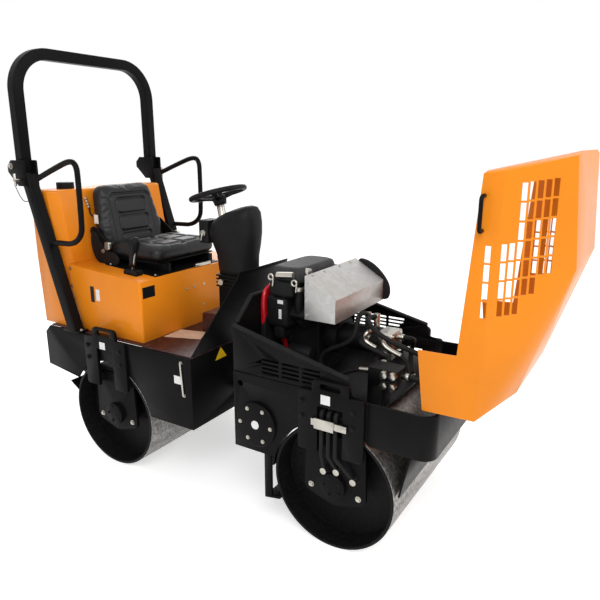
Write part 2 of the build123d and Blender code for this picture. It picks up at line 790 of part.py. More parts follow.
def steering():
    """Column stalk with bellows, hollow shroud, shaft, instrument pod and steering wheel."""
    stalk = block(STALK_REAR_X, STALK_FRONT_X, -STALK_HALF, STALK_HALF, STEP_TOP, SHROUD_LOW)
    for fold in range(BELLOWS_COUNT):
        high = SHROUD_LOW - fold * BELLOWS_PITCH
        stalk += block(STALK_REAR_X - BELLOWS_PROUD, STALK_FRONT_X + BELLOWS_PROUD,
                       -STALK_HALF - BELLOWS_PROUD, STALK_HALF + BELLOWS_PROUD, high - BELLOWS_PITCH / 2, high)
    add("column_stalk", stalk)
    form = shroud_form(0)
    form = fillet([edge for edge in form.edges() if edge.center().Z > SHROUD_LOW + SIDE_GAP], SHROUD_EDGE)
    tilt = radians(WHEEL_TILT)
    top = wheel_point(-WHEEL_HUB_HEIGHT - SIDE_GAP)
    low = wheel_point(-(WHEEL_Z - SHROUD_LOW) / cos(tilt) - COLUMN_RADIUS)
    above = block(SHROUD_REAR_X, SHROUD_FRONT_X, -SHROUD_HALF, SHROUD_HALF, SHROUD_LOW, WHEEL_Z)
    shaft = rod(COLUMN_RADIUS, low, top) & above
    add("column_shaft", shaft)
    add("column_shroud", form - shroud_form(SHROUD_WALL) - rod(COLUMN_RADIUS + SIDE_GAP, low, top))
    pod = block(SHROUD_REAR_X - POD_PROUD, SHROUD_REAR_X + POD_PROUD, -POD_HALF, POD_HALF,
                SHROUD_BROW - POD_HEIGHT, SHROUD_BROW)
    pod = fillet(pod.edges().filter_by(Axis.X), STEP_CORNER)
    add("instrument_pod", pod - form)
    plane = Plane(origin=wheel_point(0), x_dir=(cos(tilt), 0, sin(tilt)), z_dir=(-sin(tilt), 0, cos(tilt)))
    rim = plane.location * Torus(WHEEL_RADIUS, WHEEL_RIM)
    hub = rod(WHEEL_HUB, wheel_point(-WHEEL_HUB_HEIGHT), wheel_point(0))
    wheel = rim + hub
    for turn in (60, 180, 300):
        spoke = Pos(WHEEL_RADIUS / 2, 0, -SPOKE_SHEET) * Box(WHEEL_RADIUS, 2 * SPOKE_HALF, SPOKE_SHEET)
        wheel += plane.location * Rot(0, 0, turn) * spoke
    add("steering_wheel", wheel)


def travel_lever():
    """Drive lever with its grip on a gate, beside the seat."""
    base_z = box_top(LEVER_X)
    gate = slab_xz(polygon((LEVER_X - LEVER_GATE, box_top(LEVER_X - LEVER_GATE)),
                           (LEVER_X + LEVER_GATE, box_top(LEVER_X + LEVER_GATE)),
                           (LEVER_X + LEVER_GATE, base_z + LEVER_GATE / 2),
                           (LEVER_X - LEVER_GATE, base_z + LEVER_GATE / 2)),
                   LEVER_Y - LEVER_GATE / 2, LEVER_Y + LEVER_GATE / 2)
    foot = Vector(LEVER_X, LEVER_Y, base_z + LEVER_GATE / 2)
    top = Vector(LEVER_X + LEVER_LEAN, LEVER_Y, LEVER_TOP)
    along = (top - foot).normalized()
    start = top - along * LEVER_GRIP
    grip = loft([Plane(origin=start, z_dir=along) * Circle(LEVER_ROD + SIDE_GAP),
                 Plane(origin=top, z_dir=along) * Circle(LEVER_KNOB)])
    grip += Pos(*top) * Sphere(LEVER_KNOB)
    add("travel_lever", rod(LEVER_ROD, foot, start) - gate)
    add("lever_grip", grip, gate)


def yoke():
    """Two forward lugs that hold the steering pin."""
    web = polygon((REAR_FRONT_X, -YOKE_RADIUS), (PIVOT_X, -YOKE_RADIUS),
                  (PIVOT_X, YOKE_RADIUS), (REAR_FRONT_X, YOKE_RADIUS))
    outline = web + Pos(PIVOT_X, 0) * Circle(YOKE_RADIUS)
    outline -= Pos(PIVOT_X, 0) * Circle(PIN_RADIUS + SHAFT_GAP)
    gap = YOKE_SPREAD / 2
    return [slab_xy(outline, ROLL_Z + gap, ROLL_Z + gap + YOKE_PLATE),
            slab_xy(outline, ROLL_Z - gap - YOKE_PLATE, ROLL_Z - gap)]


def knuckle():
    """Centre joint: steering pin and sleeve, steering arm and the roll trunnion."""
    gap = YOKE_SPREAD / 2 - SIDE_GAP
    reach = YOKE_SPREAD / 2 + YOKE_PLATE
    body = rod(SLEEVE_RADIUS, (PIVOT_X, 0, ROLL_Z - gap), (PIVOT_X, 0, ROLL_Z + gap))
    body += rod(PIN_RADIUS, (PIVOT_X, 0, ROLL_Z - reach), (PIVOT_X, 0, ROLL_Z + reach))
    end_x = WHEELBASE + FRONT_REAR_X + BEARING_LENGTH + SIDE_GAP
    body += rod(TRUNNION_RADIUS, (PIVOT_X, 0, ROLL_Z), (end_x, 0, ROLL_Z))
    body += rod(BEARING_RADIUS - PLATE, (end_x, 0, ROLL_Z), (end_x + PLATE, 0, ROLL_Z))
    ends = Circle(SLEEVE_RADIUS) + Pos(0, STEER_ARM) * Circle(ROD_EYE_RADIUS)
    arm = slab_xy(Pos(PIVOT_X, 0) * make_hull(ends.edges()), ROLL_Z - ARM_PLATE / 2, ROLL_Z + ARM_PLATE / 2)
    return body + arm


def steering_cylinder():
    """Fixed barrel on the rear frame and the rod that slides in it."""
    z = cylinder_z()
    rear_x = BARREL_FRONT_X - BARREL_LENGTH
    barrel = rod(BARREL_RADIUS, (rear_x, STEER_ARM, z), (BARREL_FRONT_X, STEER_ARM, z))
    barrel += rod(BARREL_BORE, (REAR_CROSS_X, STEER_ARM, z), (rear_x, STEER_ARM, z))
    barrel -= rod(BARREL_BORE, (rear_x + PLATE, STEER_ARM, z), (BARREL_FRONT_X - PLATE, STEER_ARM, z))
    barrel -= rod(ROD_RADIUS + SHAFT_GAP, (rear_x + PLATE, STEER_ARM, z), (BARREL_FRONT_X, STEER_ARM, z))
    add("steer_barrel", barrel)
    tail_x = BARREL_FRONT_X - ROD_INSIDE
    bar = rod(ROD_RADIUS, (tail_x, STEER_ARM, z), (PIVOT_X, STEER_ARM, z))
    bar += rod(BARREL_BORE - SHAFT_GAP, (tail_x, STEER_ARM, z), (tail_x + PISTON_LENGTH, STEER_ARM, z))
    half = ROD_EYE_HEIGHT / 2
    bar += rod(ROD_EYE_RADIUS, (PIVOT_X, STEER_ARM, z - half), (PIVOT_X, STEER_ARM, z + half))
    add("steer_rod", bar)


def front_chassis():
    """Welded front frame: side plates, rear plate with the roll bearing, and the engine bed."""
    outline = polygon((FRONT_REAR_X, FRAME_BOTTOM), (REAR_SLANT_X, FRAME_BOTTOM),
                      (BUMPER_REAR_X, REAR_SLANT_Z), (BUMPER_REAR_X, FRAME_TOP), (FRONT_REAR_X, FRAME_TOP))
    side = slab_xz(outline - arch(), -FRAME_HALF, -FRAME_INNER)
    rear = block(FRONT_REAR_X, FRONT_REAR_X + PLATE, -FRAME_INNER, FRAME_INNER, FRAME_BOTTOM, FRAME_TOP)
    start = (FRONT_REAR_X, 0, ROLL_Z)
    end = (FRONT_REAR_X + BEARING_LENGTH, 0, ROLL_Z)
    boss = rod(BEARING_RADIUS, start, end)
    bore = rod(TRUNNION_RADIUS + SHAFT_GAP, start, end)
    bed = block(FRONT_REAR_X + PLATE, BUMPER_REAR_X, -FRAME_INNER, FRAME_INNER, BED_Z, BED_Z + PLATE)
    lash = rod_y(LASH_RADIUS, FRONT_REAR_X + LASH_INSET, LASH_Z, -FRAME_HALF, FRAME_HALF)
    window = block(-HOSE_WINDOW_HALF, HOSE_WINDOW_HALF, -FRAME_HALF, FRAME_HALF,
                   HOSE_WINDOW_LOW, HOSE_WINDOW_TOP)
    return side + mirrored(side) - window + rear + boss - bore + bed - lash


def rail_z(x):
    """Height of the sloping rails on which the hood rests."""
    share = (x - FRONT_REAR_X) / (RAIL_FRONT_X - FRONT_REAR_X)
    return RAIL_REAR_Z + (RAIL_FRONT_Z - RAIL_REAR_Z) * share


def engine_bay_panels():
    """Bent sheet round the engine bay: louvred sides and the rear bulkhead."""
    outline = polygon((FRONT_REAR_X, FRAME_TOP), (FRONT_REAR_X, RAIL_REAR_Z), (RAIL_FRONT_X, RAIL_FRONT_Z),
                      (RAIL_FRONT_X + PANEL_STEP, FRAME_TOP + PANEL_STEP), (BUMPER_REAR_X, FRAME_TOP))
    for row in range(LOUVRE_ROWS):
        for column in range(LOUVRE_COLUMNS):
            x = LOUVRE_X + column * (LOUVRE_LENGTH + PLATE)
            z = LOUVRE_Z + row * LOUVRE_ROW_PITCH
            outline -= Pos(x + LOUVRE_LENGTH / 2, z) * SlotOverall(LOUVRE_LENGTH, LOUVRE_HEIGHT)
    side = slab_xz(outline, -PANEL_OUT, -PANEL_OUT + PANEL_SHEET)
    shoulder = rail_z(FRONT_REAR_X + PANEL_SHEET)
    wall = polygon((-PANEL_OUT, FRAME_TOP), (PANEL_OUT, FRAME_TOP), (PANEL_OUT, shoulder),
                   (SEAL_INNER, shoulder), (BULKHEAD_HALF, BULKHEAD_TOP), (-BULKHEAD_HALF, BULKHEAD_TOP),
                   (-SEAL_INNER, shoulder), (-PANEL_OUT, shoulder))
    return side + mirrored(side) + slab_yz(wall, FRONT_REAR_X, FRONT_REAR_X + PANEL_SHEET)


def hood_seals():
    """Rubber strips on the rails and over the bulkhead."""
    outline = polygon((FRONT_REAR_X, RAIL_REAR_Z), (RAIL_FRONT_X, RAIL_FRONT_Z),
                      (RAIL_FRONT_X, RAIL_FRONT_Z + SEAL_HEIGHT), (FRONT_REAR_X, RAIL_REAR_Z + SEAL_HEIGHT))
    side = slab_xz(outline, -FRAME_HALF, -FRAME_HALF + SEAL_WIDTH)
    start = SEAL_INNER - SEAL_HEIGHT
    shoulder = rail_z(FRONT_REAR_X + PANEL_SHEET)
    slope = (BULKHEAD_TOP - shoulder) / (SEAL_INNER - BULKHEAD_HALF)
    start_z = shoulder + SEAL_HEIGHT * slope
    over = polygon((-start, start_z), (-BULKHEAD_HALF, BULKHEAD_TOP),
                   (BULKHEAD_HALF, BULKHEAD_TOP), (start, start_z),
                   (start, start_z + SEAL_HEIGHT), (BULKHEAD_HALF, BULKHEAD_TOP + SEAL_HEIGHT),
                   (-BULKHEAD_HALF, BULKHEAD_TOP + SEAL_HEIGHT), (-start, start_z + SEAL_HEIGHT))
    middle = FRONT_REAR_X + PANEL_SHEET / 2
    return pair(side) + [slab_yz(over, middle - SEAL_WIDTH / 2, middle + SEAL_WIDTH / 2)]


def side_cover():
    """Round bolted cover on the right side plate."""
    disc = rod_y(COVER_RADIUS, COVER_X, COVER_Z, -FRAME_HALF - COVER_PROUD, -FRAME_HALF)
    return chamfer(disc.edges().sort_by(Axis.Y)[0], DRUM_EDGE)


def bumper():
    """Front bumper bent round the nose, with the shelf that holds the scraper."""
    long = BUMPER_FRONT_X - BUMPER_REAR_X
    middle_x = (BUMPER_FRONT_X + BUMPER_REAR_X) / 2
    outer = Pos(middle_x, 0) * Rectangle(long, 2 * FRAME_HALF)
    outer = fillet(outer.vertices().group_by(Axis.X)[-1], BUMPER_RADIUS)
    inner = Pos(middle_x - PLATE, 0) * Rectangle(long, 2 * FRAME_INNER)
    inner = fillet(inner.vertices().group_by(Axis.X)[-1], BUMPER_RADIUS - PLATE)
    band = slab_xy(outer - inner, BUMPER_LOW, FRAME_TOP)
    band -= slab_xz(arch(), -FRAME_HALF, FRAME_HALF)
    shelf = block(SHELF_X, BUMPER_FRONT_X - PLATE, -FRAME_INNER, FRAME_INNER, BUMPER_LOW, BUMPER_LOW + PLATE)
    return band + (shelf & slab_xy(outer, BUMPER_LOW, FRAME_TOP))


def blade(tip_turn, lean, length, half):
    """Scraper blade: its tip close to the drum at an angle round the axle, leaning away from it."""
    turn = radians(tip_turn)
    reach = DRUM_RADIUS + SCRAPER_GAP
    tip = Vector(reach * cos(turn), AXLE_Z + reach * sin(turn))
    along = Vector(cos(radians(lean)), sin(radians(lean)))
    away = Vector(-along.Y, along.X)
    if away.dot(tip - Vector(0, AXLE_Z)) < 0:
        away = away * -1
    end = tip + along * length
    corners = [tip, end, end + away * SCRAPER_SHEET, tip + away * SCRAPER_SHEET]
    return slab_xz(polygon(*[(point.X, point.Y) for point in corners]), -half, half), end


def arm(y, *points):
    """Scraper arm: a thick plate in the drum's plane."""
    return slab_xz(polygon(*points), y - SCRAPER_ARM / 2, y + SCRAPER_ARM / 2)


def rear_scrapers():
    """Scrapers behind and in front of the rear drum, on arms from the frame's plates."""
    back, end = blade(BACK_BLADE_TURN, BACK_BLADE_LEAN, BACK_BLADE_LENGTH, SCRAPER_HALF)
    face_x = REAR_END_X + PLATE
    for side in (-1, 1):
        back += arm(side * SCRAPER_ARM_Y, (end.X, end.Y), (face_x, REAR_END_LOW),
                    (face_x, REAR_END_LOW + SCRAPER_ROOT), (end.X + SCRAPER_FOOT, end.Y + SCRAPER_FOOT),
                    (end.X + SCRAPER_FOOT, end.Y - SCRAPER_FOOT / 2))
    front, end = blade(FORE_BLADE_TURN, FORE_BLADE_LEAN, FORE_BLADE_LENGTH, SCRAPER_HALF)
    face_x = REAR_CROSS_X - PLATE
    for side in (-1, 1):
        front += arm(side * SCRAPER_ARM_Y, (end.X - SCRAPER_FOOT / 2, end.Y - SCRAPER_FOOT),
                     (face_x, REAR_SLANT_Z), (face_x, REAR_SLANT_Z + SCRAPER_ROOT),
                     (end.X - SCRAPER_FOOT, end.Y))
    return back, front


def front_scrapers():
    """Scrapers of the front drum: one low behind it, one down from the bumper's shelf."""
    back, end = blade(LOW_BLADE_TURN, LOW_BLADE_LEAN, LOW_BLADE_LENGTH, FRAME_HALF)
    hanger = polygon((end.X, end.Y), (end.X + HANGER_WIDTH, end.Y + SCRAPER_SHEET),
                     (end.X + HANGER_WIDTH, FRAME_BOTTOM), (end.X, FRAME_BOTTOM))
    for low in (-FRAME_HALF, FRAME_INNER):
        back += slab_xz(hanger, low, low + PLATE)
    reach = BUMPER_LOW - AXLE_Z
    front, end = blade(NOSE_BLADE_TURN, NOSE_BLADE_LEAN, reach, SCRAPER_HALF)
    keep = block(0, BUMPER_FRONT_X, -FRAME_HALF, FRAME_HALF, AXLE_Z, BUMPER_LOW)
    return back, front & keep


def opened(solid):
    """Turn a piece of the hood from closed to its open rest."""
    hinge = Axis((HINGE_X, 0, HINGE_Z), (0, 1, 0))
    return solid.rotate(hinge, HOOD_OPEN)


def hood_shell():
    """Folded hood: leaning sides, chamfered corners and a sloping nose, cut with vents."""
    outline = polygon((HOOD_REAR_X, HOOD_REAR_Z), (HOOD_TOP_REAR_X, HOOD_TOP_REAR_Z),
                      (HOOD_CREST_X, HOOD_CREST_Z), (HOOD_NOSE_X, HOOD_NOSE_Z), (HOOD_BROW_X, HOOD_BROW_Z),
                      (HOOD_FOOT_X, HOOD_FOOT_Z), (HOOD_CHEEK_X, HOOD_CHEEK_Z), (HOOD_NOTCH_X, HOOD_NOTCH_Z))
    form = slab_xz(outline, -HOOD_HALF, HOOD_HALF)
    middle = Vector(HOOD_CREST_X, 0, HOOD_BROW_Z)
    for side in (-1, 1):
        fold = (HOOD_FOLD_X, side * HOOD_HALF, HOOD_FOLD_Z)
        brow = (HOOD_BROW_X, side * HOOD_HALF, HOOD_BROW_Z)
        top = (HOOD_FOLD_X, side * HOOD_TOP_HALF, HOOD_TOP_REAR_Z)
        crest = (HOOD_CREST_X, side * HOOD_CREST_HALF, HOOD_CREST_Z)
        nose = (HOOD_NOSE_X, side * HOOD_CREST_HALF, HOOD_NOSE_Z)
        rear_low = (HOOD_FOLD_X, side * HOOD_HALF, HOOD_REAR_Z)
        rear_top = (HOOD_TOP_REAR_X, side * (HOOD_TOP_HALF - HOOD_CORNER), HOOD_TOP_REAR_Z)
        rear_edge = (HOOD_TOP_REAR_X + HOOD_REAR_EASE, side * HOOD_TOP_HALF, HOOD_TOP_REAR_Z)
        for corners in ((fold, brow, top), (brow, crest, nose), (rear_low, rear_edge, rear_top)):
            form = split(form, bisect_by=facet(middle, *corners), keep=Keep.BOTTOM)
    low_faces = [face for face in form.faces() if face.normal_at().Z < -STEEP]
    notch_faces = [face for face in form.faces()
                   if face.normal_at().X < -STEEP and face.center().X > HOOD_CREST_X]
    form = offset(form, amount=-HOOD_SHEET, openings=low_faces + notch_faces, kind=Kind.INTERSECTION)
    return form - hood_vents()


def hood_vents():
    """Stepped grid of vents in the leaning sides, and a row in the lower strips."""
    cuts = []
    slope = degrees(atan2(VENT_SLOPE, 1))
    for row, (first, last) in enumerate(VENT_ROWS):
        x = VENT_X + (row + 0.5) * VENT_PITCH_X
        line_z = VENT_Z - VENT_SLOPE * (x - VENT_X)
        for column in range(first, last):
            z = line_z + (column + 0.5) * VENT_PITCH_Z
            cuts.append(Pos(x, 0, z) * Rot(0, slope, 0) * Box(VENT_LENGTH, 2 * FRAME_HALF, VENT_HEIGHT))
        if row >= STRIP_VENT_FIRST:
            cuts.append(Pos(x, 0, line_z - STRIP_VENT_DROP) * Rot(0, slope, 0)
                        * Box(VENT_LENGTH, 2 * FRAME_HALF, STRIP_VENT_HEIGHT))
    return cuts


def hood_handle():
    """Bent grip on the hood's right lower strip."""
    slope = Vector(HANDLE_LENGTH / 2, 0, -VENT_SLOPE * HANDLE_LENGTH / 2)
    middle = Vector(HANDLE_X, -HOOD_HALF, HANDLE_Z)
    out = Vector(0, -HANDLE_REACH, 0)
    corners = [middle - slope, middle - slope + out, middle + slope + out, middle + slope]
    return tube(HANDLE_ROD, [tuple(corner) for corner in corners], HANDLE_ROD * 2)


def hood_arm():
    """Hinge arm from the hood's foot to its pin, drawn closed."""
    ring = Pos(HINGE_X, HINGE_Z) * Circle(HINGE_RING)
    foot = HINGE_X - HOOD_FOOT_X - HOOD_SHEET
    web = polygon((HINGE_X - foot, HINGE_Z - HINGE_RING + HOOD_SHEET), (HINGE_X, HINGE_Z - HINGE_RING),
                  (HINGE_X, HINGE_Z + HINGE_RING), (HINGE_X - foot, HINGE_Z + HINGE_RING))
    outline = ring + web - Pos(HINGE_X, HINGE_Z) * Circle(HINGE_PIN + SHAFT_GAP)
    return slab_xz(outline, -HINGE_Y - HINGE_ARM / 2, -HINGE_Y + HINGE_ARM / 2)


def hood_bracket():
    """Ears and pin behind the bumper that carry the right hinge arm."""
    ring = Pos(HINGE_X, HINGE_Z) * Circle(HINGE_PIN + PANEL_SHEET)
    web = polygon((HINGE_X, HINGE_Z - HINGE_PIN), (BUMPER_FRONT_X - PLATE, HINGE_Z - HINGE_PIN),
                  (BUMPER_FRONT_X - PLATE, HINGE_Z + HINGE_PIN), (HINGE_X, HINGE_Z + HINGE_PIN))
    near = -HINGE_Y - HINGE_ARM / 2 - SIDE_GAP
    far = -HINGE_Y + HINGE_ARM / 2 + SIDE_GAP
    ears = slab_xz(ring + web, near - PANEL_SHEET, near) + slab_xz(ring + web, far, far + PANEL_SHEET)
    return ears + rod_y(HINGE_PIN, HINGE_X, HINGE_Z, near - PANEL_SHEET, far + PANEL_SHEET)


def hood():
    """Hood pieces in their open rest."""
    add("hood_shell", opened(hood_shell()))
    add("hood_handles", *[opened(piece) for piece in pair(hood_handle())])
    shell = nodes["hood_shell"][0]
    add("hood_hinge_arms", *[opened(piece) - shell for piece in pair(hood_arm())])
    add("hood_hinge_brackets", *pair(hood_bracket()))


def cylinder_axis(side):
    """Direction of a leaning engine cylinder."""
    lean = radians(CYLINDER_LEAN)
    return Vector(0, side * sin(lean), cos(lean))


def engine():
    """Engine in a V: crankcase with finned cylinders, rocker covers, fan and air cleaner."""
    bed = BED_Z + PLATE
    case_top = ENGINE_Z + CRANK_HALF - DECK_PLATE
    case = block(ENGINE_REAR_X + FAN_DEPTH, ENGINE_FRONT_X, -CRANK_HALF, CRANK_HALF, bed, case_top)
    case = fillet(case.edges().filter_by(Axis.X), BUMPER_RADIUS / 3)
    centre = Vector(CYLINDER_X, 0, ENGINE_Z)
    covers = []
    for side in (-1, 1):
        axis = cylinder_axis(side)
        start = centre + axis * CRANK_HALF / 2
        end = centre + axis * (CRANK_HALF / 2 + CYLINDER_LENGTH)
        case += rod(CYLINDER_RADIUS, start, end)
        for fin in range(FIN_COUNT):
            at = end - axis * (fin * FIN_PITCH)
            case += rod(FIN_RADIUS, at - axis * FIN_SHEET, at)
        plane = Plane(origin=end, x_dir=(1, 0, 0), z_dir=axis)
        cover = extrude(plane * Rectangle(ROCKER_LENGTH, ROCKER_WIDTH), amount=ROCKER_HEIGHT)
        covers.append(fillet(cover.edges().filter_by(Axis.X), STEP_CORNER))
    bracket = block(ENGINE_FRONT_X - PLATE, ENGINE_FRONT_X, -CYLINDER_RADIUS, CYLINDER_RADIUS,
                    ENGINE_Z, SHIELD_LOW + BUMPER_RADIUS)
    add("engine_block", case + bracket)
    add("rocker_covers", *covers)
    fan_front = ENGINE_REAR_X + FAN_DEPTH
    middle = (ENGINE_REAR_X + fan_front) / 2
    fan_z = ENGINE_Z + FAN_RISE
    add("fan_housing", rod(FAN_RADIUS, (middle, 0, fan_z), (fan_front, 0, fan_z)))
    lid = rod(FAN_RADIUS + STEP_CORNER, (ENGINE_REAR_X, 0, fan_z), (middle, 0, fan_z))
    add("fan_cover", fillet(lid.edges().sort_by(Axis.X)[0], STEP_CORNER))
    low = CLEANER_TOP - CLEANER_HEIGHT
    lid = block(ENGINE_FRONT_X - CLEANER_LENGTH, ENGINE_FRONT_X - SIDE_GAP, -CLEANER_HALF, CLEANER_HALF,
                low, CLEANER_TOP)
    lid = fillet(lid.edges().filter_by(Axis.Z), BUMPER_RADIUS / 2)
    lid = fillet(lid.faces().sort_by(Axis.Z)[-1].edges(), STEP_CORNER)
    neck = block(CYLINDER_X - CYLINDER_RADIUS, CYLINDER_X, -COLUMN_RADIUS, COLUMN_RADIUS, case_top, low)
    add("air_cleaner", lid + (neck - nodes["engine_block"][0]))


def muffler_shield():
    """Folded heat shield over the muffler, open below, with its rubber end trim."""
    outline = polygon((ENGINE_FRONT_X, SHIELD_LOW), (ENGINE_FRONT_X, SHIELD_REAR_TOP),
                      (SHIELD_FRONT_X, SHIELD_FRONT_TOP), (SHIELD_FRONT_X, SHIELD_LOW))
    shield = slab_xz(outline, SHIELD_RIGHT_Y, SHIELD_LEFT_Y)
    under = shield.faces().sort_by(Axis.Z)[0]
    add("muffler_shield", offset(shield, amount=-SHIELD_SHEET, openings=under, kind=Kind.INTERSECTION))
    trim = polygon((ENGINE_FRONT_X, SHIELD_LOW - TRIM_PROUD), (ENGINE_FRONT_X, SHIELD_REAR_TOP + TRIM_PROUD),
                   (SHIELD_FRONT_X + TRIM_PROUD, SHIELD_FRONT_TOP + TRIM_PROUD),
                   (SHIELD_FRONT_X + TRIM_PROUD, SHIELD_LOW - TRIM_PROUD))
    trim = fillet(trim.vertices(), STEP_CORNER)
    add("shield_end", slab_xz(trim, SHIELD_LEFT_Y, SHIELD_LEFT_Y + TRIM_WIDTH))


def hydraulics():
    """Bell housing and drive pump, gear pump, and the valve block on its bracket."""
    bell_x = ENGINE_FRONT_X + BELL_LENGTH
    pump_x = bell_x + PUMP_LENGTH
    bell = rod(BELL_RADIUS, (ENGINE_FRONT_X, 0, ENGINE_Z), (bell_x, 0, ENGINE_Z))
    pump = rod(PUMP_RADIUS, (bell_x, 0, ENGINE_Z), (pump_x, 0, ENGINE_Z))
    add("drive_pump", bell + pump)
    gear = block(pump_x, pump_x + BELL_LENGTH, -PUMP_RADIUS, PUMP_RADIUS,
                 ENGINE_Z - PUMP_RADIUS, ENGINE_Z + PUMP_RADIUS)
    add("gear_pump", fillet(gear.edges().filter_by(Axis.X), STEP_CORNER))
    bed = BED_Z + PLATE
    low = VALVE_Z - VALVE_HEIGHT
    bracket = block(VALVE_X - VALVE_LENGTH / 2, VALVE_X, VALVE_Y - VALVE_WIDTH / 2,
                    VALVE_Y + VALVE_WIDTH / 2, bed, low)
    body = block(VALVE_X - VALVE_LENGTH / 2, VALVE_X + VALVE_LENGTH / 2, VALVE_Y - VALVE_WIDTH / 2,
                 VALVE_Y + VALVE_WIDTH / 2, low, VALVE_Z)
    add("valve_block", body, bracket)


def engine_trimmings():
    """Small parts on the engine's right side: lift eyes, oil filler, starter, filter and canister."""
    covers = nodes["rocker_covers"]
    eyes = []
    for side in (-1, 1):
        x = CYLINDER_X + side * EYE_SPREAD
        stem = rod(EYE_WIRE, (x, EYE_Y, ENGINE_Z + CRANK_HALF), (x, EYE_Y, EYE_Z - EYE_RADIUS))
        ring = Pos(x, EYE_Y, EYE_Z) * Rot(90, 0, 0) * Torus(EYE_RADIUS, EYE_WIRE)
        eyes.append((stem - covers[0] + ring).solids().sort_by(Axis.Z)[-1])
    neck = rod(NECK_RADIUS, (CYLINDER_X, NECK_Y, ENGINE_Z + CRANK_HALF), (CYLINDER_X, NECK_Y, NECK_TOP))
    neck = (neck - covers[0]).solids().sort_by(Axis.Z)[-1]
    starter_y = -CRANK_HALF - STARTER_RADIUS
    starter = rod(STARTER_RADIUS, (CYLINDER_X - ROCKER_LENGTH / 2, starter_y, STARTER_Z),
                  (CYLINDER_X + ROCKER_LENGTH / 2, starter_y, STARTER_Z))
    filter_can = rod_y(FILTER_RADIUS, CYLINDER_X, FILTER_Z, -CRANK_HALF - FILTER_LENGTH, -CRANK_HALF)
    add("engine_fittings", neck, starter, filter_can - starter)
    cap = rod(NECK_CAP, (CYLINDER_X, NECK_Y, NECK_TOP), (CYLINDER_X, NECK_Y, NECK_TOP + NECK_RADIUS))
    y = -CLEANER_HALF - CANISTER_RADIUS
    canister = rod(CANISTER_RADIUS, (CYLINDER_X - EYE_SPREAD, y, CANISTER_Z),
                   (CYLINDER_X + EYE_SPREAD, y, CANISTER_Z))
    add("engine_brightwork", *eyes, cap, canister)


def hydraulic_hoses():
    """Hoses between the pumps, the valve block and the bed, with their end fittings."""
    bed = BED_Z + PLATE
    pump_x = ENGINE_FRONT_X + BELL_LENGTH + PUMP_LENGTH
    valve_side = VALVE_Y + VALVE_WIDTH / 2
    valve_front = VALVE_X + VALVE_LENGTH / 2
    solid = [nodes[name][0] for name in ("drive_pump", "gear_pump", "valve_block")]
    fittings = []
    hoses = []

    def fitting(start, end):
        piece = rod(FITTING_RADIUS, start, end) - solid
        fittings.append(piece.solids().sort_by(SortBy.VOLUME)[-1])

    def hose(*points):
        hoses.append((hose_bar(HOSE_RADIUS, points) - fittings - solid).solids().sort_by(SortBy.VOLUME)[-1])

    rear_x = SHIELD_FRONT_X + FITTING_LENGTH + FITTING_RADIUS
    fore_x = rear_x + RISER_SPACING
    for x in (rear_x, fore_x):
        fitting((x, 0, ENGINE_Z), (x, 0, RISER_Z))
    drop_x = ENGINE_FRONT_X + BELL_LENGTH / 2
    drop_y = -CRANK_HALF - FITTING_RADIUS
    fitting((drop_x, drop_y, bed), (drop_x, drop_y, bed + FITTING_LENGTH))
    out_z = RISER_Z - FITTING_RADIUS
    hose((rear_x, 0, out_z), (rear_x, drop_y + HOSE_BEND, out_z), (rear_x, drop_y, ENGINE_Z + PUMP_RADIUS),
         (drop_x, drop_y, ENGINE_Z - PUMP_RADIUS), (drop_x, drop_y, bed + FITTING_LENGTH))
    front_y = VALVE_Y + FITTING_LENGTH
    front_z = VALVE_Z - VALVE_HEIGHT / 2
    end_x = valve_front + FITTING_LENGTH
    fitting((valve_front, front_y, front_z), (end_x, front_y, front_z))
    loop_x = end_x + HOSE_BEND * 2
    hose((fore_x, 0, out_z), (fore_x, -BELL_RADIUS, out_z),
         (pump_x + BELL_LENGTH, -CRANK_HALF, ENGINE_Z + PUMP_RADIUS),
         (loop_x, -CRANK_HALF, front_z + HOSE_BEND), (loop_x, front_y, front_z), (end_x, front_y, front_z))
    port_y = -PUMP_RADIUS - FITTING_LENGTH
    meet_y = valve_side + FITTING_LENGTH
    turn_y = (port_y + meet_y) / 2
    ports = ((fore_x - FITTING_RADIUS, ENGINE_Z + HOSE_BEND,
              VALVE_X - RISER_SPACING, VALVE_Z - FITTING_RADIUS),
             (pump_x + BELL_LENGTH / 2, ENGINE_Z - RISER_SPACING,
              VALVE_X + RISER_SPACING / 2, front_z - FITTING_LENGTH))
    for start_x, start_z, stop_x, stop_z in ports:
        fitting((start_x, 0, start_z), (start_x, port_y, start_z))
        fitting((stop_x, valve_side, stop_z), (stop_x, meet_y, stop_z))
        hose((start_x, port_y, start_z), (start_x, turn_y, start_z), (stop_x, turn_y, stop_z),
             (stop_x, meet_y, stop_z))
    fore_end = pump_x + BELL_LENGTH
    left_y = PUMP_RADIUS / 2
    left_z = ENGINE_Z + HOSE_BEND
    fitting((fore_end, left_y, left_z), (fore_end + FITTING_LENGTH, left_y, left_z))
    fall_x = BUMPER_REAR_X - FITTING_RADIUS * 2
    fall_y = left_y + BELL_LENGTH
    fitting((fall_x, fall_y, bed), (fall_x, fall_y, bed + FITTING_LENGTH))
    hose((fore_end + FITTING_LENGTH, left_y, left_z), (fall_x, left_y, left_z), (fall_x, fall_y, VALVE_Z),
         (fall_x, fall_y, bed + FITTING_LENGTH))
    face_y = VALVE_Y - VALVE_WIDTH / 2
    for x in (VALVE_X + HEX_LENGTH / 2, VALVE_X + VALVE_LENGTH / 2 - HEX_RADIUS):
        for z in (VALVE_Z - HEX_RADIUS, VALVE_Z - VALVE_HEIGHT + HEX_RADIUS):
            fittings.append(slab_xz(Pos(x, z) * RegularPolygon(HEX_RADIUS, 6), face_y - HEX_LENGTH, face_y))
    add("hoses", *hoses)
    add("hose_fittings", *fittings)


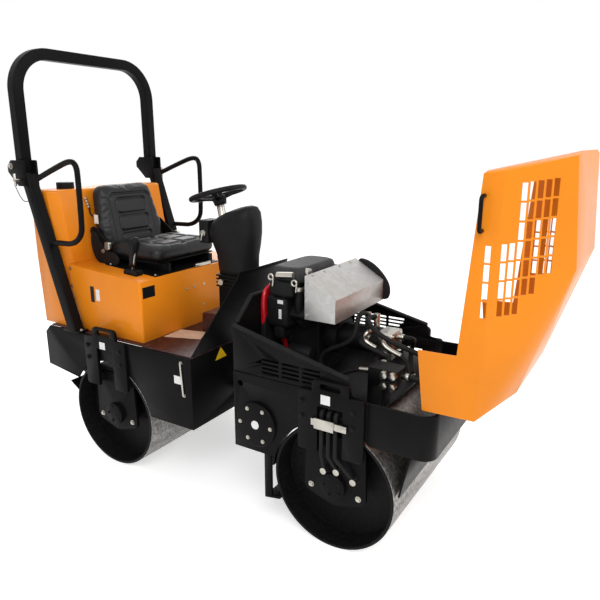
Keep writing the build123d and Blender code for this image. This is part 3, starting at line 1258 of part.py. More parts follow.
def motor_hoses():
    """Three hoses from the engine bay to the front drum's motor, and their clamp on the right leg."""
    hose_y = -FRAME_HALF - MOTOR_HOSE_OUT
    foot_y = -MOTOR_HOSE_FOOT_Y
    plate_y = -FRAME_HALF + BUFFER_LENGTH
    bed = BED_Z + PLATE
    hoses = []
    fittings = []
    for top_x, port_x, port_z in MOTOR_PORTS:
        foot = rod(FITTING_RADIUS, (top_x, foot_y, bed), (top_x, foot_y, MOTOR_HOSE_Z + FITTING_RADIUS))
        port = rod_y(FITTING_RADIUS, port_x, port_z, plate_y - MOTOR_FITTING, plate_y)
        end_y = plate_y - MOTOR_FITTING + FITTING_RADIUS
        points = [(top_x, foot_y, MOTOR_HOSE_Z), (top_x, hose_y, MOTOR_HOSE_Z),
                  (top_x, hose_y, LEG_BOTTOM - MOTOR_HOSE_RADIUS), (port_x, end_y, port_z)]
        bar = tube(MOTOR_HOSE_RADIUS, points, MOTOR_HOSE_BEND) - foot - port
        hoses.append(bar.solids().sort_by(SortBy.VOLUME)[-1])
        fittings += [foot, port]
    back_y = hose_y - MOTOR_HOSE_RADIUS - SIDE_GAP
    strap_y = back_y - CLAMP_STRAP
    middle = (CLAMP_LOW + CLAMP_HIGH) / 2
    clamp = block(-CLAMP_STRAP_HALF, CLAMP_STRAP_HALF, strap_y, back_y,
                  middle - FITTING_RADIUS, middle + FITTING_RADIUS)
    clamp += block(CLAMP_REAR_X, CLAMP_FRONT_X, strap_y - CLAMP_STRAP, strap_y, CLAMP_LOW, CLAMP_HIGH)
    for x in (-CLAMP_SCREW_X, CLAMP_SCREW_X):
        clamp += rod_y(MOTOR_HOSE_RADIUS, x, middle, back_y, -FRAME_HALF - LEG_PLATE)
    add("hoses", *nodes["hoses"], *hoses)
    add("hose_fittings", *nodes["hose_fittings"], *fittings, clamp)


def rear_machine():
    """Everything on the rear frame."""
    add("rear_chassis", rear_chassis())
    add("rear_yoke", *yoke())
    add("knuckle", knuckle())
    add("deck_plate", block(REAR_END_X + REAR_END_CHAMFER, REAR_FRONT_X, -FRAME_INNER, FRAME_INNER,
                            FRAME_TOP, DECK_TOP))
    add("guard_plate", guard_plate())
    add("floor_step", floor_step())
    add("seat_box", seat_box())
    add("water_tank", water_tank())
    add("tank_cap", tank_cap())
    add("rops_posts", *pair(post()))
    add("rops_hoop", hoop())
    add("rops_pins", *pair(lock_pin()))
    add("handrails", *pair(handrail()))
    add("rear_scrapers", *rear_scrapers())
    travel_lever()
    seat()
    steering()
    steering_cylinder()
    drum_support("rear")


def front_machine():
    """Everything on the front frame, drawn from the front drum's axle and then moved to its place."""
    behind = set(nodes)
    add("front_chassis", front_chassis())
    add("engine_bay_panels", engine_bay_panels())
    add("hood_seals", *hood_seals())
    add("side_covers", *pair(side_cover()))
    add("bumper", bumper())
    add("front_scrapers", *front_scrapers())
    hood()
    engine()
    muffler_shield()
    engine_trimmings()
    hydraulics()
    hydraulic_hoses()
    motor_hoses()
    drum_support("front")
    for name in nodes.keys() - behind:
        nodes[name] = [Pos(WHEELBASE, 0, 0) * solid for solid in nodes[name]]


def main():
    """Build the nodes, put the origin under the middle of the machine and write the files."""
    rear_machine()
    front_machine()
    boxes = [solid.bounding_box() for solids in nodes.values() for solid in solids]
    middle_x = (min(box.min.X for box in boxes) + max(box.max.X for box in boxes)) / 2
    shift = Pos(-middle_x, 0, DRUM_RADIUS - AXLE_Z)
    os.makedirs("parts", exist_ok=True)
    for name, solids in nodes.items():
        moved = [shift * solid for solid in solids]
        export_step(moved[0] if len(moved) == 1 else Compound(children=moved), f"parts/{name}.step")


main()
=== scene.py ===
"""Looks of a small articulated road roller: paint, drums, seat, fasteners, blank plates, light and camera.

Places are in millimetres from the rear drum's axle: x forward, y left, z up from the ground.
"""
import json
from math import cos, exp, pi, radians, sin

import bmesh
import bpy
from mathutils import Matrix, Vector


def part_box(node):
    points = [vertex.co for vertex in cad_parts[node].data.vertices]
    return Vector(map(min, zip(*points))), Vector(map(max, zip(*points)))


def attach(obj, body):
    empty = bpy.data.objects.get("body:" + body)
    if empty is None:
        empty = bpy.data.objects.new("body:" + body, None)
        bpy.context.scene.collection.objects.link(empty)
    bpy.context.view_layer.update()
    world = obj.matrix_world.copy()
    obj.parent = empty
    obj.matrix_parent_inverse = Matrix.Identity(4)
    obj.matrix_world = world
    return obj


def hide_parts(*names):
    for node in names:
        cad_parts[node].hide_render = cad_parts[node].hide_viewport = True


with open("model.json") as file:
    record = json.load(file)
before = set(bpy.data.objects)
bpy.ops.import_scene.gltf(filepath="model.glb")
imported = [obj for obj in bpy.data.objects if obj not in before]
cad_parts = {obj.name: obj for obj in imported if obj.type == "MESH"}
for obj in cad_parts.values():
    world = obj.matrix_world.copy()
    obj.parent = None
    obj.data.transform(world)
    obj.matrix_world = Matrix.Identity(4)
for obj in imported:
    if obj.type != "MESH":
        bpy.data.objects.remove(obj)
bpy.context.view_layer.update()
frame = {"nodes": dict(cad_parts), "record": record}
nodes = frame["nodes"]

MM = 0.001
SIDES = (("right", -1), ("left", 1))

# Camera solved from the photograph
CAMERA_SPOT = (2355, -2353, 1665)
CAMERA_YAW = 31.87
CAMERA_PITCH = 14.82
CAMERA_LENS = 35.5

drum_low, drum_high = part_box("rear_drum")
AXLE_X = (drum_low.x + drum_high.x) / 2
AXLE_Z = (drum_low.z + drum_high.z) / 2


def spot(x, y, z):
    """Point in the row frame, in metres."""
    return Vector((AXLE_X + x * MM, y * MM, z * MM))


def node_corners(node):
    """Low and high corner of a CAD node, in whole millimetres."""
    return [(round((end.x - AXLE_X) / MM), round(end.y / MM), round(end.z / MM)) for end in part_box(node)]


def node_center(node):
    """Middle of a CAD node along the machine, and its height."""
    low, high = node_corners(node)
    return (low[0] + high[0]) / 2, (low[2] + high[2]) / 2


def side_face(node):
    """How far a CAD node reaches to each side."""
    return node_corners(node)[1][1]


# Faces and centres of the CAD that the trim sits on
WHEELBASE, AXLE_HEIGHT = node_center("front_drum")
COVER_X, COVER_Z = node_center("side_covers")
WHEEL_X, WHEEL_Z = node_center("steering_wheel")
FRAME_FACE = side_face("front_chassis")
LEG_FACE = side_face("front_legs")
COVER_FACE = side_face("side_covers")
MOTOR_FACE = side_face("front_carriers")
CARRIER_FACE = MOTOR_FACE - 24
POST_FACE = side_face("rops_posts")
POST_MIDDLE = POST_FACE - 40
POD_FACE = side_face("instrument_pod")
STALK_FACE = side_face("column_stalk")
SHIELD_FACE = -node_corners("muffler_shield")[0][1]
BOX_FACE = side_face("seat_box")
BOX_BACK = node_corners("seat_box")[0][0]
BOX_FRONT, _, BOX_TOP = node_corners("seat_box")[1]
BOX_DROP = 36
DECK_TOP = node_corners("deck_plate")[1][2]
REAR_FRAME_FRONT = node_corners("rear_chassis")[1][0]

# Sizes of trim that is in the scene alone
SEAT_SIDE_FACE = 258
CYLINDER_COVER_FACE = 232
LOCK_BAR = ((510, 671), (515, 600), (521, 511))
LOCK_BAR_OUT = 6
WHEEL_LEAN = 16
WHEEL_RISE = 18
RIM_RADIUS = 138
RIM_HALF_WIDTH = 12
RIM_HALF_HEIGHT = 13
LIFT_LOOP_RADIUS = 13

# A drum is bare steel outside this radius and black inside it
BARE_RADIUS = AXLE_HEIGHT - 1.4

# A bolt's washer and head: sides, radius, top radius, low and high end, as shares of the bolt's size
BOLT_STEPS = ((20, 1.35, 1.3, 0.0, 0.22), (6, 1.0, 0.92, 0.2, 0.85))

# A rounded edge in steps: which end, how far back from it and how far in, as shares of the edge
BLOCK_STEPS = ((-1, 0, 1), (-1, 0.3, 0.3), (-1, 1, 0), (1, 1, 0), (1, 0.3, 0.3), (1, 0, 1))

# A round-edged plate in steps: share of its thickness and share of its outline's size
PLATE_STEPS = ((0, 0.95), (0.15, 0.99), (0.35, 1), (0.65, 1), (0.85, 0.99), (1, 0.95))


class Shader:
    """One node material, built step by step."""

    def __init__(self, name, rough, metal=0.0, specular=0.5):
        self.material = bpy.data.materials.new(name)
        self.material.use_nodes = True
        self.tree = self.material.node_tree
        self.bsdf = self.tree.nodes["Principled BSDF"]
        self.bsdf.inputs["Roughness"].default_value = rough
        self.bsdf.inputs["Metallic"].default_value = metal
        self.bsdf.inputs["Specular IOR Level"].default_value = specular
        self.place = self.node("ShaderNodeTexCoord").outputs["Object"]

    def node(self, kind, **values):
        made = self.tree.nodes.new(kind)
        for key, value in values.items():
            setattr(made, key, value)
        return made

    def link(self, output, target):
        self.tree.links.new(output, target)

    def feed(self, source, target):
        """Set a socket to a constant, or link an output to it."""
        if isinstance(source, (int, float)):
            target.default_value = source
        else:
            self.link(source, target)

    def stretched(self, x, y, z):
        """Coordinates squeezed along each axis, for streaks."""
        mapping = self.node("ShaderNodeMapping")
        mapping.inputs["Scale"].default_value = (x, y, z)
        self.link(self.place, mapping.inputs["Vector"])
        return mapping.outputs["Vector"]

    def noise(self, scale, detail=4.0, vector=None):
        made = self.node("ShaderNodeTexNoise")
        made.inputs["Scale"].default_value = scale
        made.inputs["Detail"].default_value = detail
        self.link(vector or self.place, made.inputs["Vector"])
        return made.outputs["Fac"]

    def cells(self, scale, output="Distance"):
        made = self.node("ShaderNodeTexVoronoi")
        made.inputs["Scale"].default_value = scale
        self.link(self.place, made.inputs["Vector"])
        return made.outputs[output]

    def ramp(self, value, *stops):
        """Colours or greys at places along a value."""
        made = self.node("ShaderNodeValToRGB")
        elements = made.color_ramp.elements
        while len(elements) < len(stops):
            elements.new(0.5)
        for element, (place, color) in zip(elements, stops):
            element.position = place
            element.color = (*color, 1)
        self.link(value, made.inputs["Fac"])
        return made.outputs["Color"]

    def mix(self, share, first, second):
        made = self.node("ShaderNodeMix", data_type="RGBA")
        self.feed(share, made.inputs["Factor"])
        self.link(first, made.inputs[6])
        self.link(second, made.inputs[7])
        return made.outputs[2]

    def math(self, operation, first, second):
        made = self.node("ShaderNodeMath", operation=operation)
        self.feed(first, made.inputs[0])
        self.feed(second, made.inputs[1])
        return made.outputs[0]

    def color(self, output):
        self.link(output, self.bsdf.inputs["Base Color"])

    def rough(self, value, low, high):
        made = self.node("ShaderNodeMapRange")
        made.inputs["To Min"].default_value = low
        made.inputs["To Max"].default_value = high
        self.link(value, made.inputs["Value"])
        self.link(made.outputs["Result"], self.bsdf.inputs["Roughness"])

    def bump(self, height, strength, depth):
        made = self.node("ShaderNodeBump")
        made.inputs["Strength"].default_value = strength
        made.inputs["Distance"].default_value = depth
        self.link(height, made.inputs["Height"])
        self.link(made.outputs["Normal"], self.bsdf.inputs["Normal"])


def shade(color, factor):
    """A darker or paler version of a colour."""
    return tuple(min(1.0, part * factor) for part in color)


def orange_paint():
    """Glossy enamel with slight orange peel."""
    look = Shader("orange_enamel", 0.3, specular=0.16)
    base = (0.87, 0.262, 0.012)
    look.color(look.ramp(look.noise(3.0), (0.3, shade(base, 0.94)), (0.7, shade(base, 1.04))))
    look.rough(look.noise(26.0), 0.24, 0.36)
    look.bump(look.noise(420.0, 2.0), 0.04, 0.0006)
    look.bsdf.inputs["Coat Weight"].default_value = 0.06
    look.bsdf.inputs["Coat Roughness"].default_value = 0.12
    return look.material


def black_paint():
    """Fine-grained powder coat with a little dust."""
    look = Shader("black_powder_coat", 0.4, specular=0.07)
    base = (0.0042, 0.0038, 0.0040)
    dust = look.noise(5.5, 6.0)
    look.color(look.ramp(dust, (0.35, base), (0.8, shade(base, 1.9))))
    look.rough(look.noise(40.0), 0.3, 0.46)
    look.bump(look.noise(900.0, 2.0), 0.12, 0.0004)
    return look.material


def deck_paint():
    """Dark red coating with pale grit."""
    look = Shader("deck_coating", 0.3)
    grains = look.noise(55.0, 8.0)
    look.color(look.ramp(grains, (0.4, (0.018, 0.004, 0.005)), (0.62, (0.055, 0.010, 0.011)),
                         (0.75, (0.18, 0.10, 0.10))))
    look.rough(grains, 0.2, 0.5)
    look.bump(grains, 0.5, 0.002)
    return look.material


def axle_distance(look, axle_x):
    """Distance of a point from a drum's axle."""
    parts = look.node("ShaderNodeSeparateXYZ")
    look.link(look.place, parts.inputs["Vector"])
    along = look.math("SUBTRACT", parts.outputs["X"], axle_x)
    up = look.math("SUBTRACT", parts.outputs["Z"], AXLE_Z)
    square = look.math("ADD", look.math("MULTIPLY", along, along), look.math("MULTIPLY", up, up))
    return look.math("SQRT", square, 0.0)


def plain(name, base, rough, metal=0.0, grain=700.0, depth=0.0003, strength=0.1, spread=1.5):
    """Even finish with slight mottling and a fine texture."""
    look = Shader(name, rough, metal, specular=0.5 if max(base) > 0.05 else 0.1)
    look.color(look.ramp(look.noise(14.0, 6.0), (0.35, base), (0.75, shade(base, spread))))
    look.rough(look.noise(60.0), rough * 0.85, rough * 1.15)
    look.bump(look.noise(grain, 3.0), strength, depth)
    return look.material


def galvanised():
    """Zinc sheet with spangle and heat stains."""
    look = Shader("galvanised_sheet", 0.42, 0.45)
    spangle = look.cells(46.0, "Color")
    grey = look.node("ShaderNodeRGBToBW")
    look.link(spangle, grey.inputs["Color"])
    stains = look.noise(7.0, 6.0)
    sheet = look.ramp(grey.outputs["Val"], (0.2, (0.44, 0.45, 0.45)), (0.8, (0.56, 0.565, 0.555)))
    heat = look.ramp(stains, (0.3, (0.54, 0.55, 0.55)), (0.75, (0.46, 0.42, 0.37)))
    look.color(look.mix(0.5, sheet, heat))
    look.rough(look.noise(30.0), 0.36, 0.5)
    look.bump(stains, 0.1, 0.001)
    return look.material


def vinyl():
    """Seat cover with a pebbled grain."""
    look = Shader("grained_vinyl", 0.42, specular=0.3)
    look.color(look.ramp(look.noise(8.0), (0.3, (0.007, 0.007, 0.0075)), (0.75, (0.013, 0.013, 0.0135))))
    look.rough(look.noise(90.0), 0.34, 0.5)
    look.bump(look.cells(520.0), 0.16, 0.0005)
    return look.material


FINISHES = {
    "orange_paint": orange_paint(),
    "black_paint": black_paint(),
    "deck_paint": deck_paint(),
    "vinyl": vinyl(),
    "galvanised": galvanised(),
    "rubber": plain("rubber", (0.013, 0.013, 0.0135), 0.7, grain=300.0, strength=0.2),
    "black_plastic": plain("moulded_plastic", (0.009, 0.009, 0.0095), 0.45, grain=1100.0, strength=0.14),
    "red_plastic": plain("red_cover", (0.46, 0.006, 0.012), 0.24, spread=1.15, strength=0.03),
    "grey_plastic": plain("grey_cover", (0.034, 0.034, 0.036), 0.5, strength=0.15),
    "engine_casting": plain("painted_casting", (0.009, 0.009, 0.0095), 0.5, metal=0.2, grain=260.0,
                            strength=0.3),
    "bright_metal": plain("zinc_plate", (0.44, 0.42, 0.375), 0.3, metal=1.0, spread=1.2, strength=0.08),
    "hose_rubber": plain("hose_cover", (0.012, 0.012, 0.0125), 0.55, grain=240.0, strength=0.25),
}

# Finishes of thin plates that are in the scene alone and have no slot
PLATES = {
    "white_plate": plain("white_plate", (0.80, 0.80, 0.79), 0.4, spread=1.05),
    "yellow_plate": plain("yellow_plate", (0.95, 0.58, 0.012), 0.35, spread=1.1),
    # Pale brown sheet on the deck: a painted reflection of the glossy deck
    "painted_deck_reflection": plain("painted_deck_reflection", (0.60, 0.42, 0.30), 0.45, spread=1.3, grain=120.0),
    # Near-black gloss for a dark plate and for the painted shade of the seat box's slot
    "dark_plate_and_slot_shade": plain("dark_plate_and_slot_shade", (0.008, 0.009, 0.010), 0.25),
}


def smooth(made):
    """Shade all of an object's faces as one curve."""
    for face in made.data.polygons:
        face.use_smooth = True


def smooth_sides(made):
    """Shade an object's four-sided faces as one curve, with its ends flat."""
    for face in made.data.polygons:
        face.use_smooth = len(face.vertices) == 4


def dress_nodes():
    """Give every CAD node its finish, soft edge highlights and smooth curves."""
    for subpart in frame["record"]["subparts"]:
        name, slot = subpart["node"], subpart["material_slot"]
        dressed = nodes[name]
        dressed.data.materials.clear()
        dressed.data.materials.append(drum_finish(name) if slot == "drum_steel" else FINISHES[slot])
        weld = dressed.modifiers.new("weld", "WELD")
        weld.merge_threshold = 0.02 * MM
        bevel = dressed.modifiers.new("edge", "BEVEL")
        bevel.width = 1.4 * MM
        bevel.segments = 2
        bevel.limit_method = "ANGLE"
        bevel.angle_limit = radians(38)
        bevel.harden_normals = True
        smooth(dressed)


def drum_finish(node):
    """A drum's finish about its own axle: scuffed steel outside, black inside."""
    low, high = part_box(node)
    look = Shader("rolled_" + node, 0.5, specular=0.1)
    streaks = look.noise(7.0, 6.0, look.stretched(3.0, 0.5, 3.0))
    scuffs = look.noise(70.0, 9.0)
    blend = look.math("ADD", look.math("MULTIPLY", streaks, 0.35), look.math("MULTIPLY", scuffs, 0.65))
    steel = look.ramp(blend, (0.36, (0.13, 0.125, 0.12)), (0.5, (0.27, 0.262, 0.25)),
                      (0.62, (0.42, 0.41, 0.39)))
    black = look.ramp(scuffs, (0.4, (0.004, 0.004, 0.004)), (0.8, (0.011, 0.010, 0.010)))
    outside = look.math("GREATER_THAN", axle_distance(look, (low.x + high.x) / 2), BARE_RADIUS * MM)
    look.color(look.mix(outside, black, steel))
    look.link(look.math("MULTIPLY", outside, 0.85), look.bsdf.inputs["Metallic"])
    look.rough(scuffs, 0.34, 0.56)
    look.bump(scuffs, 0.15, 0.0006)
    return look.material


def piece(name, shape, body, finish):
    """New object from a bmesh that is already in place, with the CAD finish or the plate finish of that
    name.
    """
    mesh = bpy.data.meshes.new(name)
    shape.to_mesh(mesh)
    shape.free()
    mesh.materials.append(FINISHES[finish] if finish in FINISHES else PLATES[finish])
    made = bpy.data.objects.new(name, mesh)
    bpy.context.scene.collection.objects.link(made)
    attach(made, body)
    return made


def standing(place, axis):
    """Matrix of a piece that stands at a place and points along an axis."""
    turn = Vector((0, 0, 1)).rotation_difference(Vector(axis)).to_matrix().to_4x4()
    return Matrix.Translation(spot(*place)) @ turn


def bolt_group(name, body, places, axis, size=9.0, finish="bright_metal"):
    """Hexagon bolts with washers, all facing along one axis."""
    shape = bmesh.new()
    for place in places:
        base = standing(place, axis)
        for sides, radius, top, low, high in BOLT_STEPS:
            depth = (high - low) * size * MM
            lift = Matrix.Translation((0, 0, low * size * MM + depth / 2))
            bmesh.ops.create_cone(shape, cap_ends=True, segments=sides, radius1=radius * size * MM,
                                  radius2=top * size * MM, depth=depth, matrix=base @ lift)
    return piece(name, shape, body, finish)


def bolt_pairs(name, body, places, size=9.0, finish="bright_metal"):
    """Bolts on the right side faces and the same on the left."""
    mirrored = [(x, -y, z) for x, y, z in places]
    bolt_group(name + "_right", body, places, (0, -1, 0), size, finish)
    bolt_group(name + "_left", body, mirrored, (0, 1, 0), size, finish)


def bolt_ring(x, y, z, radius, start, count):
    """Places evenly around a centre on a side face, from a start in degrees."""
    turns = [radians(start + 360 * index / count) for index in range(count)]
    return [(x + radius * cos(turn), y, z + radius * sin(turn)) for turn in turns]


def plate(name, body, corners, finish, lift):
    """Thin blank plate or label through its corners, standing a little off its face."""
    shape = bmesh.new()
    points = [spot(*corner) for corner in corners]
    normal = (points[1] - points[0]).cross(points[2] - points[1]).normalized()
    face = shape.faces.new([shape.verts.new(point) for point in points])
    made = bmesh.ops.extrude_face_region(shape, geom=[face])
    moved = [item for item in made["geom"] if isinstance(item, bmesh.types.BMVert)]
    bmesh.ops.translate(shape, verts=moved, vec=normal * lift * MM)
    bmesh.ops.recalc_face_normals(shape, faces=shape.faces)
    return piece(name, shape, body, finish)


def side_label(name, body, x, z, width, height, face, finish="white_plate"):
    """Blank label on a right side face."""
    corners = [(x, -face, z), (x + width, -face, z), (x + width, -face, z + height), (x, -face, z + height)]
    return plate(name, body, corners, finish, 0.6)


def disc(name, body, place, axis, radius, height, finish):
    """Flat round piece on a face."""
    shape = bmesh.new()
    base = standing(place, axis) @ Matrix.Translation((0, 0, height * MM / 2))
    bmesh.ops.create_cone(shape, cap_ends=True, segments=32, radius1=radius * MM,
                          radius2=radius * 0.94 * MM, depth=height * MM, matrix=base)
    return piece(name, shape, body, finish)


def wire(name, body, places, radius, finish):
    """Round bar, hose or cord that bends softly through its places."""
    curve = bpy.data.curves.new(name, "CURVE")
    curve.dimensions = "3D"
    spline = curve.splines.new("NURBS")
    spline.points.add(len(places) - 1)
    for point, place in zip(spline.points, places):
        point.co = (*spot(*place), 1)
    spline.use_endpoint_u = True
    spline.order_u = 3
    holder = bpy.data.objects.new(name, curve)
    bpy.context.scene.collection.objects.link(holder)
    path = [vertex.co.copy() for vertex in bpy.data.meshes.new_from_object(holder).vertices]
    curve.bevel_depth = radius * MM
    curve.bevel_resolution = 3
    curve.use_fill_caps = True
    shape = bmesh.new()
    shape.from_mesh(bpy.data.meshes.new_from_object(holder))
    bpy.data.objects.remove(holder)
    made = piece(name, shape, body, finish)
    smooth(made)
    return made


def drum_bolts():
    """Bolts of the legs, the carrier plates, the drum motors and the round side covers."""
    for prefix, leg_x in (("rear", -11), ("front", WHEELBASE - 16)):
        places = [(leg_x + side * 118, -LEG_FACE, z) for side in (-1, 1) for z in (585, 652)]
        bolt_pairs(prefix + "_leg_bolts", prefix + "_frame", places, 10.0, "engine_casting")
    for prefix, axle_x in (("rear", 0), ("front", WHEELBASE)):
        feet = [(axle_x + side * 112, -CARRIER_FACE, 250) for side in (-1, 1)]
        bolt_pairs(prefix + "_carrier_bolts", prefix + "_frame", feet, 10.0)
        ring = bolt_ring(axle_x, -MOTOR_FACE, AXLE_HEIGHT, 42, 36, 5)
        bolt_pairs(prefix + "_motor_bolts", prefix + "_frame", ring, 6.0, "engine_casting")
    ring = bolt_ring(COVER_X, -COVER_FACE, COVER_Z, 80, 0, 6)
    bolt_pairs("cover_bolts", "front_frame", ring, 7.0)


def frame_bolts():
    """Bolts of the boxes, the shield, the posts, the pump, the seat and the lock bars."""
    column = [(-281, -BOX_FACE, z) for z in (1030, 937, 868)]
    bolt_pairs("box_side_bolts", "rear_frame", column, 6.0)
    row = [(BOX_FRONT, y, z) for y, z in ((-69, 917), (-10, 917), (67, 917), (67, 801))]
    bolt_group("box_front_bolts", "rear_frame", row, (1, 0, 0), 5.5)
    edge = [(1082, y, 1112) for y in (-204, -100, 44, 151)]
    bolt_group("shield_top_bolts", "front_frame", edge, (0.516, 0, 0.857), 5.0)
    column = [(1082, -SHIELD_FACE, z) for z in (1087, 1010, 945)]
    bolt_group("shield_side_bolts", "front_frame", column, (0, -1, 0), 5.0)
    feet = [(-230 + side * 47, across * POST_MIDDLE, 718) for side in (-1, 1) for across in (-1, 1)]
    bolt_group("post_foot_bolts", "rear_frame", feet, (0, 0, 1), 8.0)
    pump_end = node_corners("gear_pump")[1][0]
    pump_height = node_center("gear_pump")[1]
    corners = [(pump_end, y, pump_height + z) for y in (-44, 44) for z in (-44, 44)]
    bolt_group("pump_bolts", "front_frame", corners, (1, 0, 0), 6.0)
    bolt_pairs("fold_pin_heads", "rear_frame", [(-566, -POST_FACE, 1552)], 12.0)
    bolt_pairs("seat_hinge_bolts", "rear_frame", [(-184, -SEAT_SIDE_FACE, 1110)], 9.0)
    row = [(x, -255, box_top(x) + 5) for x in (-135, 190)]
    bolt_group("seat_plate_bolts", "rear_frame", row, (0, 0, 1), 6.0)
    ends = [(x, -FRAME_FACE, z) for x, z in (LOCK_BAR[0], LOCK_BAR[-1])]
    bolt_pairs("lock_bar_bolts", "rear_frame", ends, 7.0)


def trim():
    """Lock bars, lanyards, cover discs, the switch with its key, the column's knob and a pale patch of
    painted reflection on the deck.
    """
    for side, sign in SIDES:
        bar = [(x, sign * (FRAME_FACE + LOCK_BAR_OUT), z) for x, z in LOCK_BAR]
        wire(side + "_lock_bar", "rear_frame", bar, 5.0, "bright_metal")
        cord = [(-490, sign * 520, 1455), (-478, sign * 506, 1390), (-452, sign * 490, 1370),
                (-428, sign * 474, 1392)]
        wire(side + "_lock_cord", "rear_frame", cord, 2.0, "rubber")
        middle = (COVER_X, sign * COVER_FACE, COVER_Z)
        disc(side + "_cover_disc", "front_frame", middle, (0, sign, 0), 20, 2, "white_plate")
    disc("switch_ring", "rear_frame", (345, -POD_FACE, 1222), (0, -1, 0), 17, 9, "bright_metal")
    key = [(345, -60, 1222), (345, -70, 1218), (342, -72, 1186)]
    wire("key", "rear_frame", key, 4.0, "bright_metal")
    disc("column_knob", "rear_frame", (470, -STALK_FACE, 985), (0, -1, 0), 16, 14, "bright_metal")
    # Pale brown sheet on the deck's top: a painted reflection of the glossy deck
    reflection_corners = [(x, y, DECK_TOP) for x, y in ((237, -269), (425, -203), (373, -99), (228, -134))]
    plate("deck_reflection_patch", "rear_frame", reflection_corners, "painted_deck_reflection", 1.5)


def skin(shape, rings):
    """Faces between rings of points, with both ends closed."""
    loops = [[shape.verts.new(point) for point in ring] for ring in rings]
    count = len(loops[0])
    for lower, upper in zip(loops, loops[1:]):
        for index in range(count):
            after = (index + 1) % count
            shape.faces.new((lower[index], lower[after], upper[after], upper[index]))
    shape.faces.new(loops[-1])
    shape.faces.new(loops[0][::-1])


def circle(count):
    """Even turns once around, in radians."""
    return [2 * pi * index / count for index in range(count)]


def squared(turn, power):
    """Cosine and sine of a turn, drawn out towards a square's corners by a power below one."""
    return [abs(part) ** power * (1 if part > 0 else -1) for part in (cos(turn), sin(turn))]


def cover_ring(middle_x, half_x, half_y, height, slope):
    """Soft rectangle at a height, its plane leaning up towards the front."""
    ring = []
    for turn in circle(56):
        along, across = squared(turn, 0.78)
        x = middle_x + half_x * along
        ring.append(spot(x, half_y * across, height + slope * (x - middle_x)))
    return ring


def column_cover():
    """Bulging cover of the steering column, narrow at its foot and domed on top."""
    sections = ((525, 104, 70, 1021, 0), (525, 108, 74, 1050, 0), (522, 112, 78, 1120, 0),
                (516, 128, 88, 1176, 0.02), (512, 138, 95, 1226, 0.08), (512, 138, 96, 1268, 0.17),
                (516, 129, 89, 1306, 0.26), (522, 108, 74, 1332, 0.31), (528, 76, 50, 1346, 0.33),
                (532, 34, 22, 1352, 0.34))
    shape = bmesh.new()
    skin(shape, [cover_ring(*section) for section in sections])
    made = piece("column_cover", shape, "rear_frame", "black_plastic")
    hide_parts("column_shroud")
    smooth(made)


def wheel_rim(shape, place, around=72, sides=14):
    """Round rim of the steering wheel, a little taller than wide."""
    loops = []
    for turn in circle(around):
        loop = []
        for tube in circle(sides):
            reach = (RIM_RADIUS + RIM_HALF_WIDTH * cos(tube)) * MM
            point = Vector((reach * cos(turn), reach * sin(turn), RIM_HALF_HEIGHT * sin(tube) * MM))
            loop.append(shape.verts.new(place @ point))
        loops.append(loop)
    for first, second in zip(loops, loops[1:] + loops[:1]):
        for step in range(sides):
            after = (step + 1) % sides
            shape.faces.new((first[step], second[step], second[after], first[after]))


def hand_wheel():
    """Steering wheel at the CAD wheel's place, smaller and leaning a little more, with a dished hub."""
    shape = bmesh.new()
    lean = Matrix.Translation(spot(WHEEL_X, 0, WHEEL_Z)) @ Matrix.Rotation(radians(-WHEEL_LEAN), 4, "Y")
    place = lean @ Matrix.Translation((0, 0, WHEEL_RISE * MM))
    wheel_rim(shape, place)
    for low, high, wide, top in ((-58, -30, 30, 36), (-30, -10, 36, 28), (-10, 14, 23, 19)):
        lift = Matrix.Translation((0, 0, (low + high) / 2 * MM))
        bmesh.ops.create_cone(shape, cap_ends=True, segments=36, radius1=wide * MM, radius2=top * MM,
                              depth=(high - low) * MM, matrix=place @ lift)
    for turn in (60, 180, 300):
        arm = place @ Matrix.Rotation(radians(turn), 4, "Z") @ Matrix.Translation((78 * MM, 0, -15 * MM))
        arm = arm @ Matrix.Rotation(radians(-13), 4, "Y") @ Matrix.Diagonal((112 * MM, 26 * MM, 11 * MM, 1))
        bmesh.ops.create_cube(shape, size=1.0, matrix=arm)
    bmesh.ops.recalc_face_normals(shape, faces=shape.faces)
    made = piece("hand_wheel", shape, "steering_wheel", "black_plastic")
    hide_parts("steering_wheel")
    smooth_sides(made)


def soft_ring(center, first, second):
    """Rectangle with well rounded corners about a centre, reaching along two half axes."""
    ring = []
    for turn in circle(48):
        along, across = squared(turn, 0.42)
        ring.append(spot(*(Vector(center) + Vector(first) * along + Vector(second) * across)))
    return ring


def moulding(name, body, rings, finish, stands_for=None):
    """Closed smooth form through rings of points."""
    shape = bmesh.new()
    skin(shape, rings)
    bmesh.ops.recalc_face_normals(shape, faces=shape.faces)
    made = piece(name, shape, body, finish)
    if stands_for:
        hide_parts(stands_for)
    smooth_sides(made)
    return made


def rounded_block(name, body, low, high, along, edge, finish, stands_for=None):
    """Moulded block between two corners, skinned along one axis."""
    half = [(b - a) / 2 for a, b in zip(low, high)]
    first, second = [axis for axis in range(3) if axis != along]
    rings = []
    for side, back, inset in BLOCK_STEPS:
        center = [(a + b) / 2 for a, b in zip(low, high)]
        center[along] += side * (half[along] - back * edge)
        reaches = [[0, 0, 0], [0, 0, 0]]
        reaches[0][first] = half[first] - inset * edge
        reaches[1][second] = half[second] - inset * edge
        rings.append(soft_ring(center, *reaches))
    return moulding(name, body, rings, finish, stands_for)


def cut_corners(points, rounds=3):
    """A closed outline with its corners cut again and again until they are round."""
    for _ in range(rounds):
        cut = []
        for (a, b), (c, d) in zip(points, points[1:] + points[:1]):
            cut.append((a * 0.75 + c * 0.25, b * 0.75 + d * 0.25))
            cut.append((a * 0.25 + c * 0.75, b * 0.25 + d * 0.75))
        points = cut
    return points


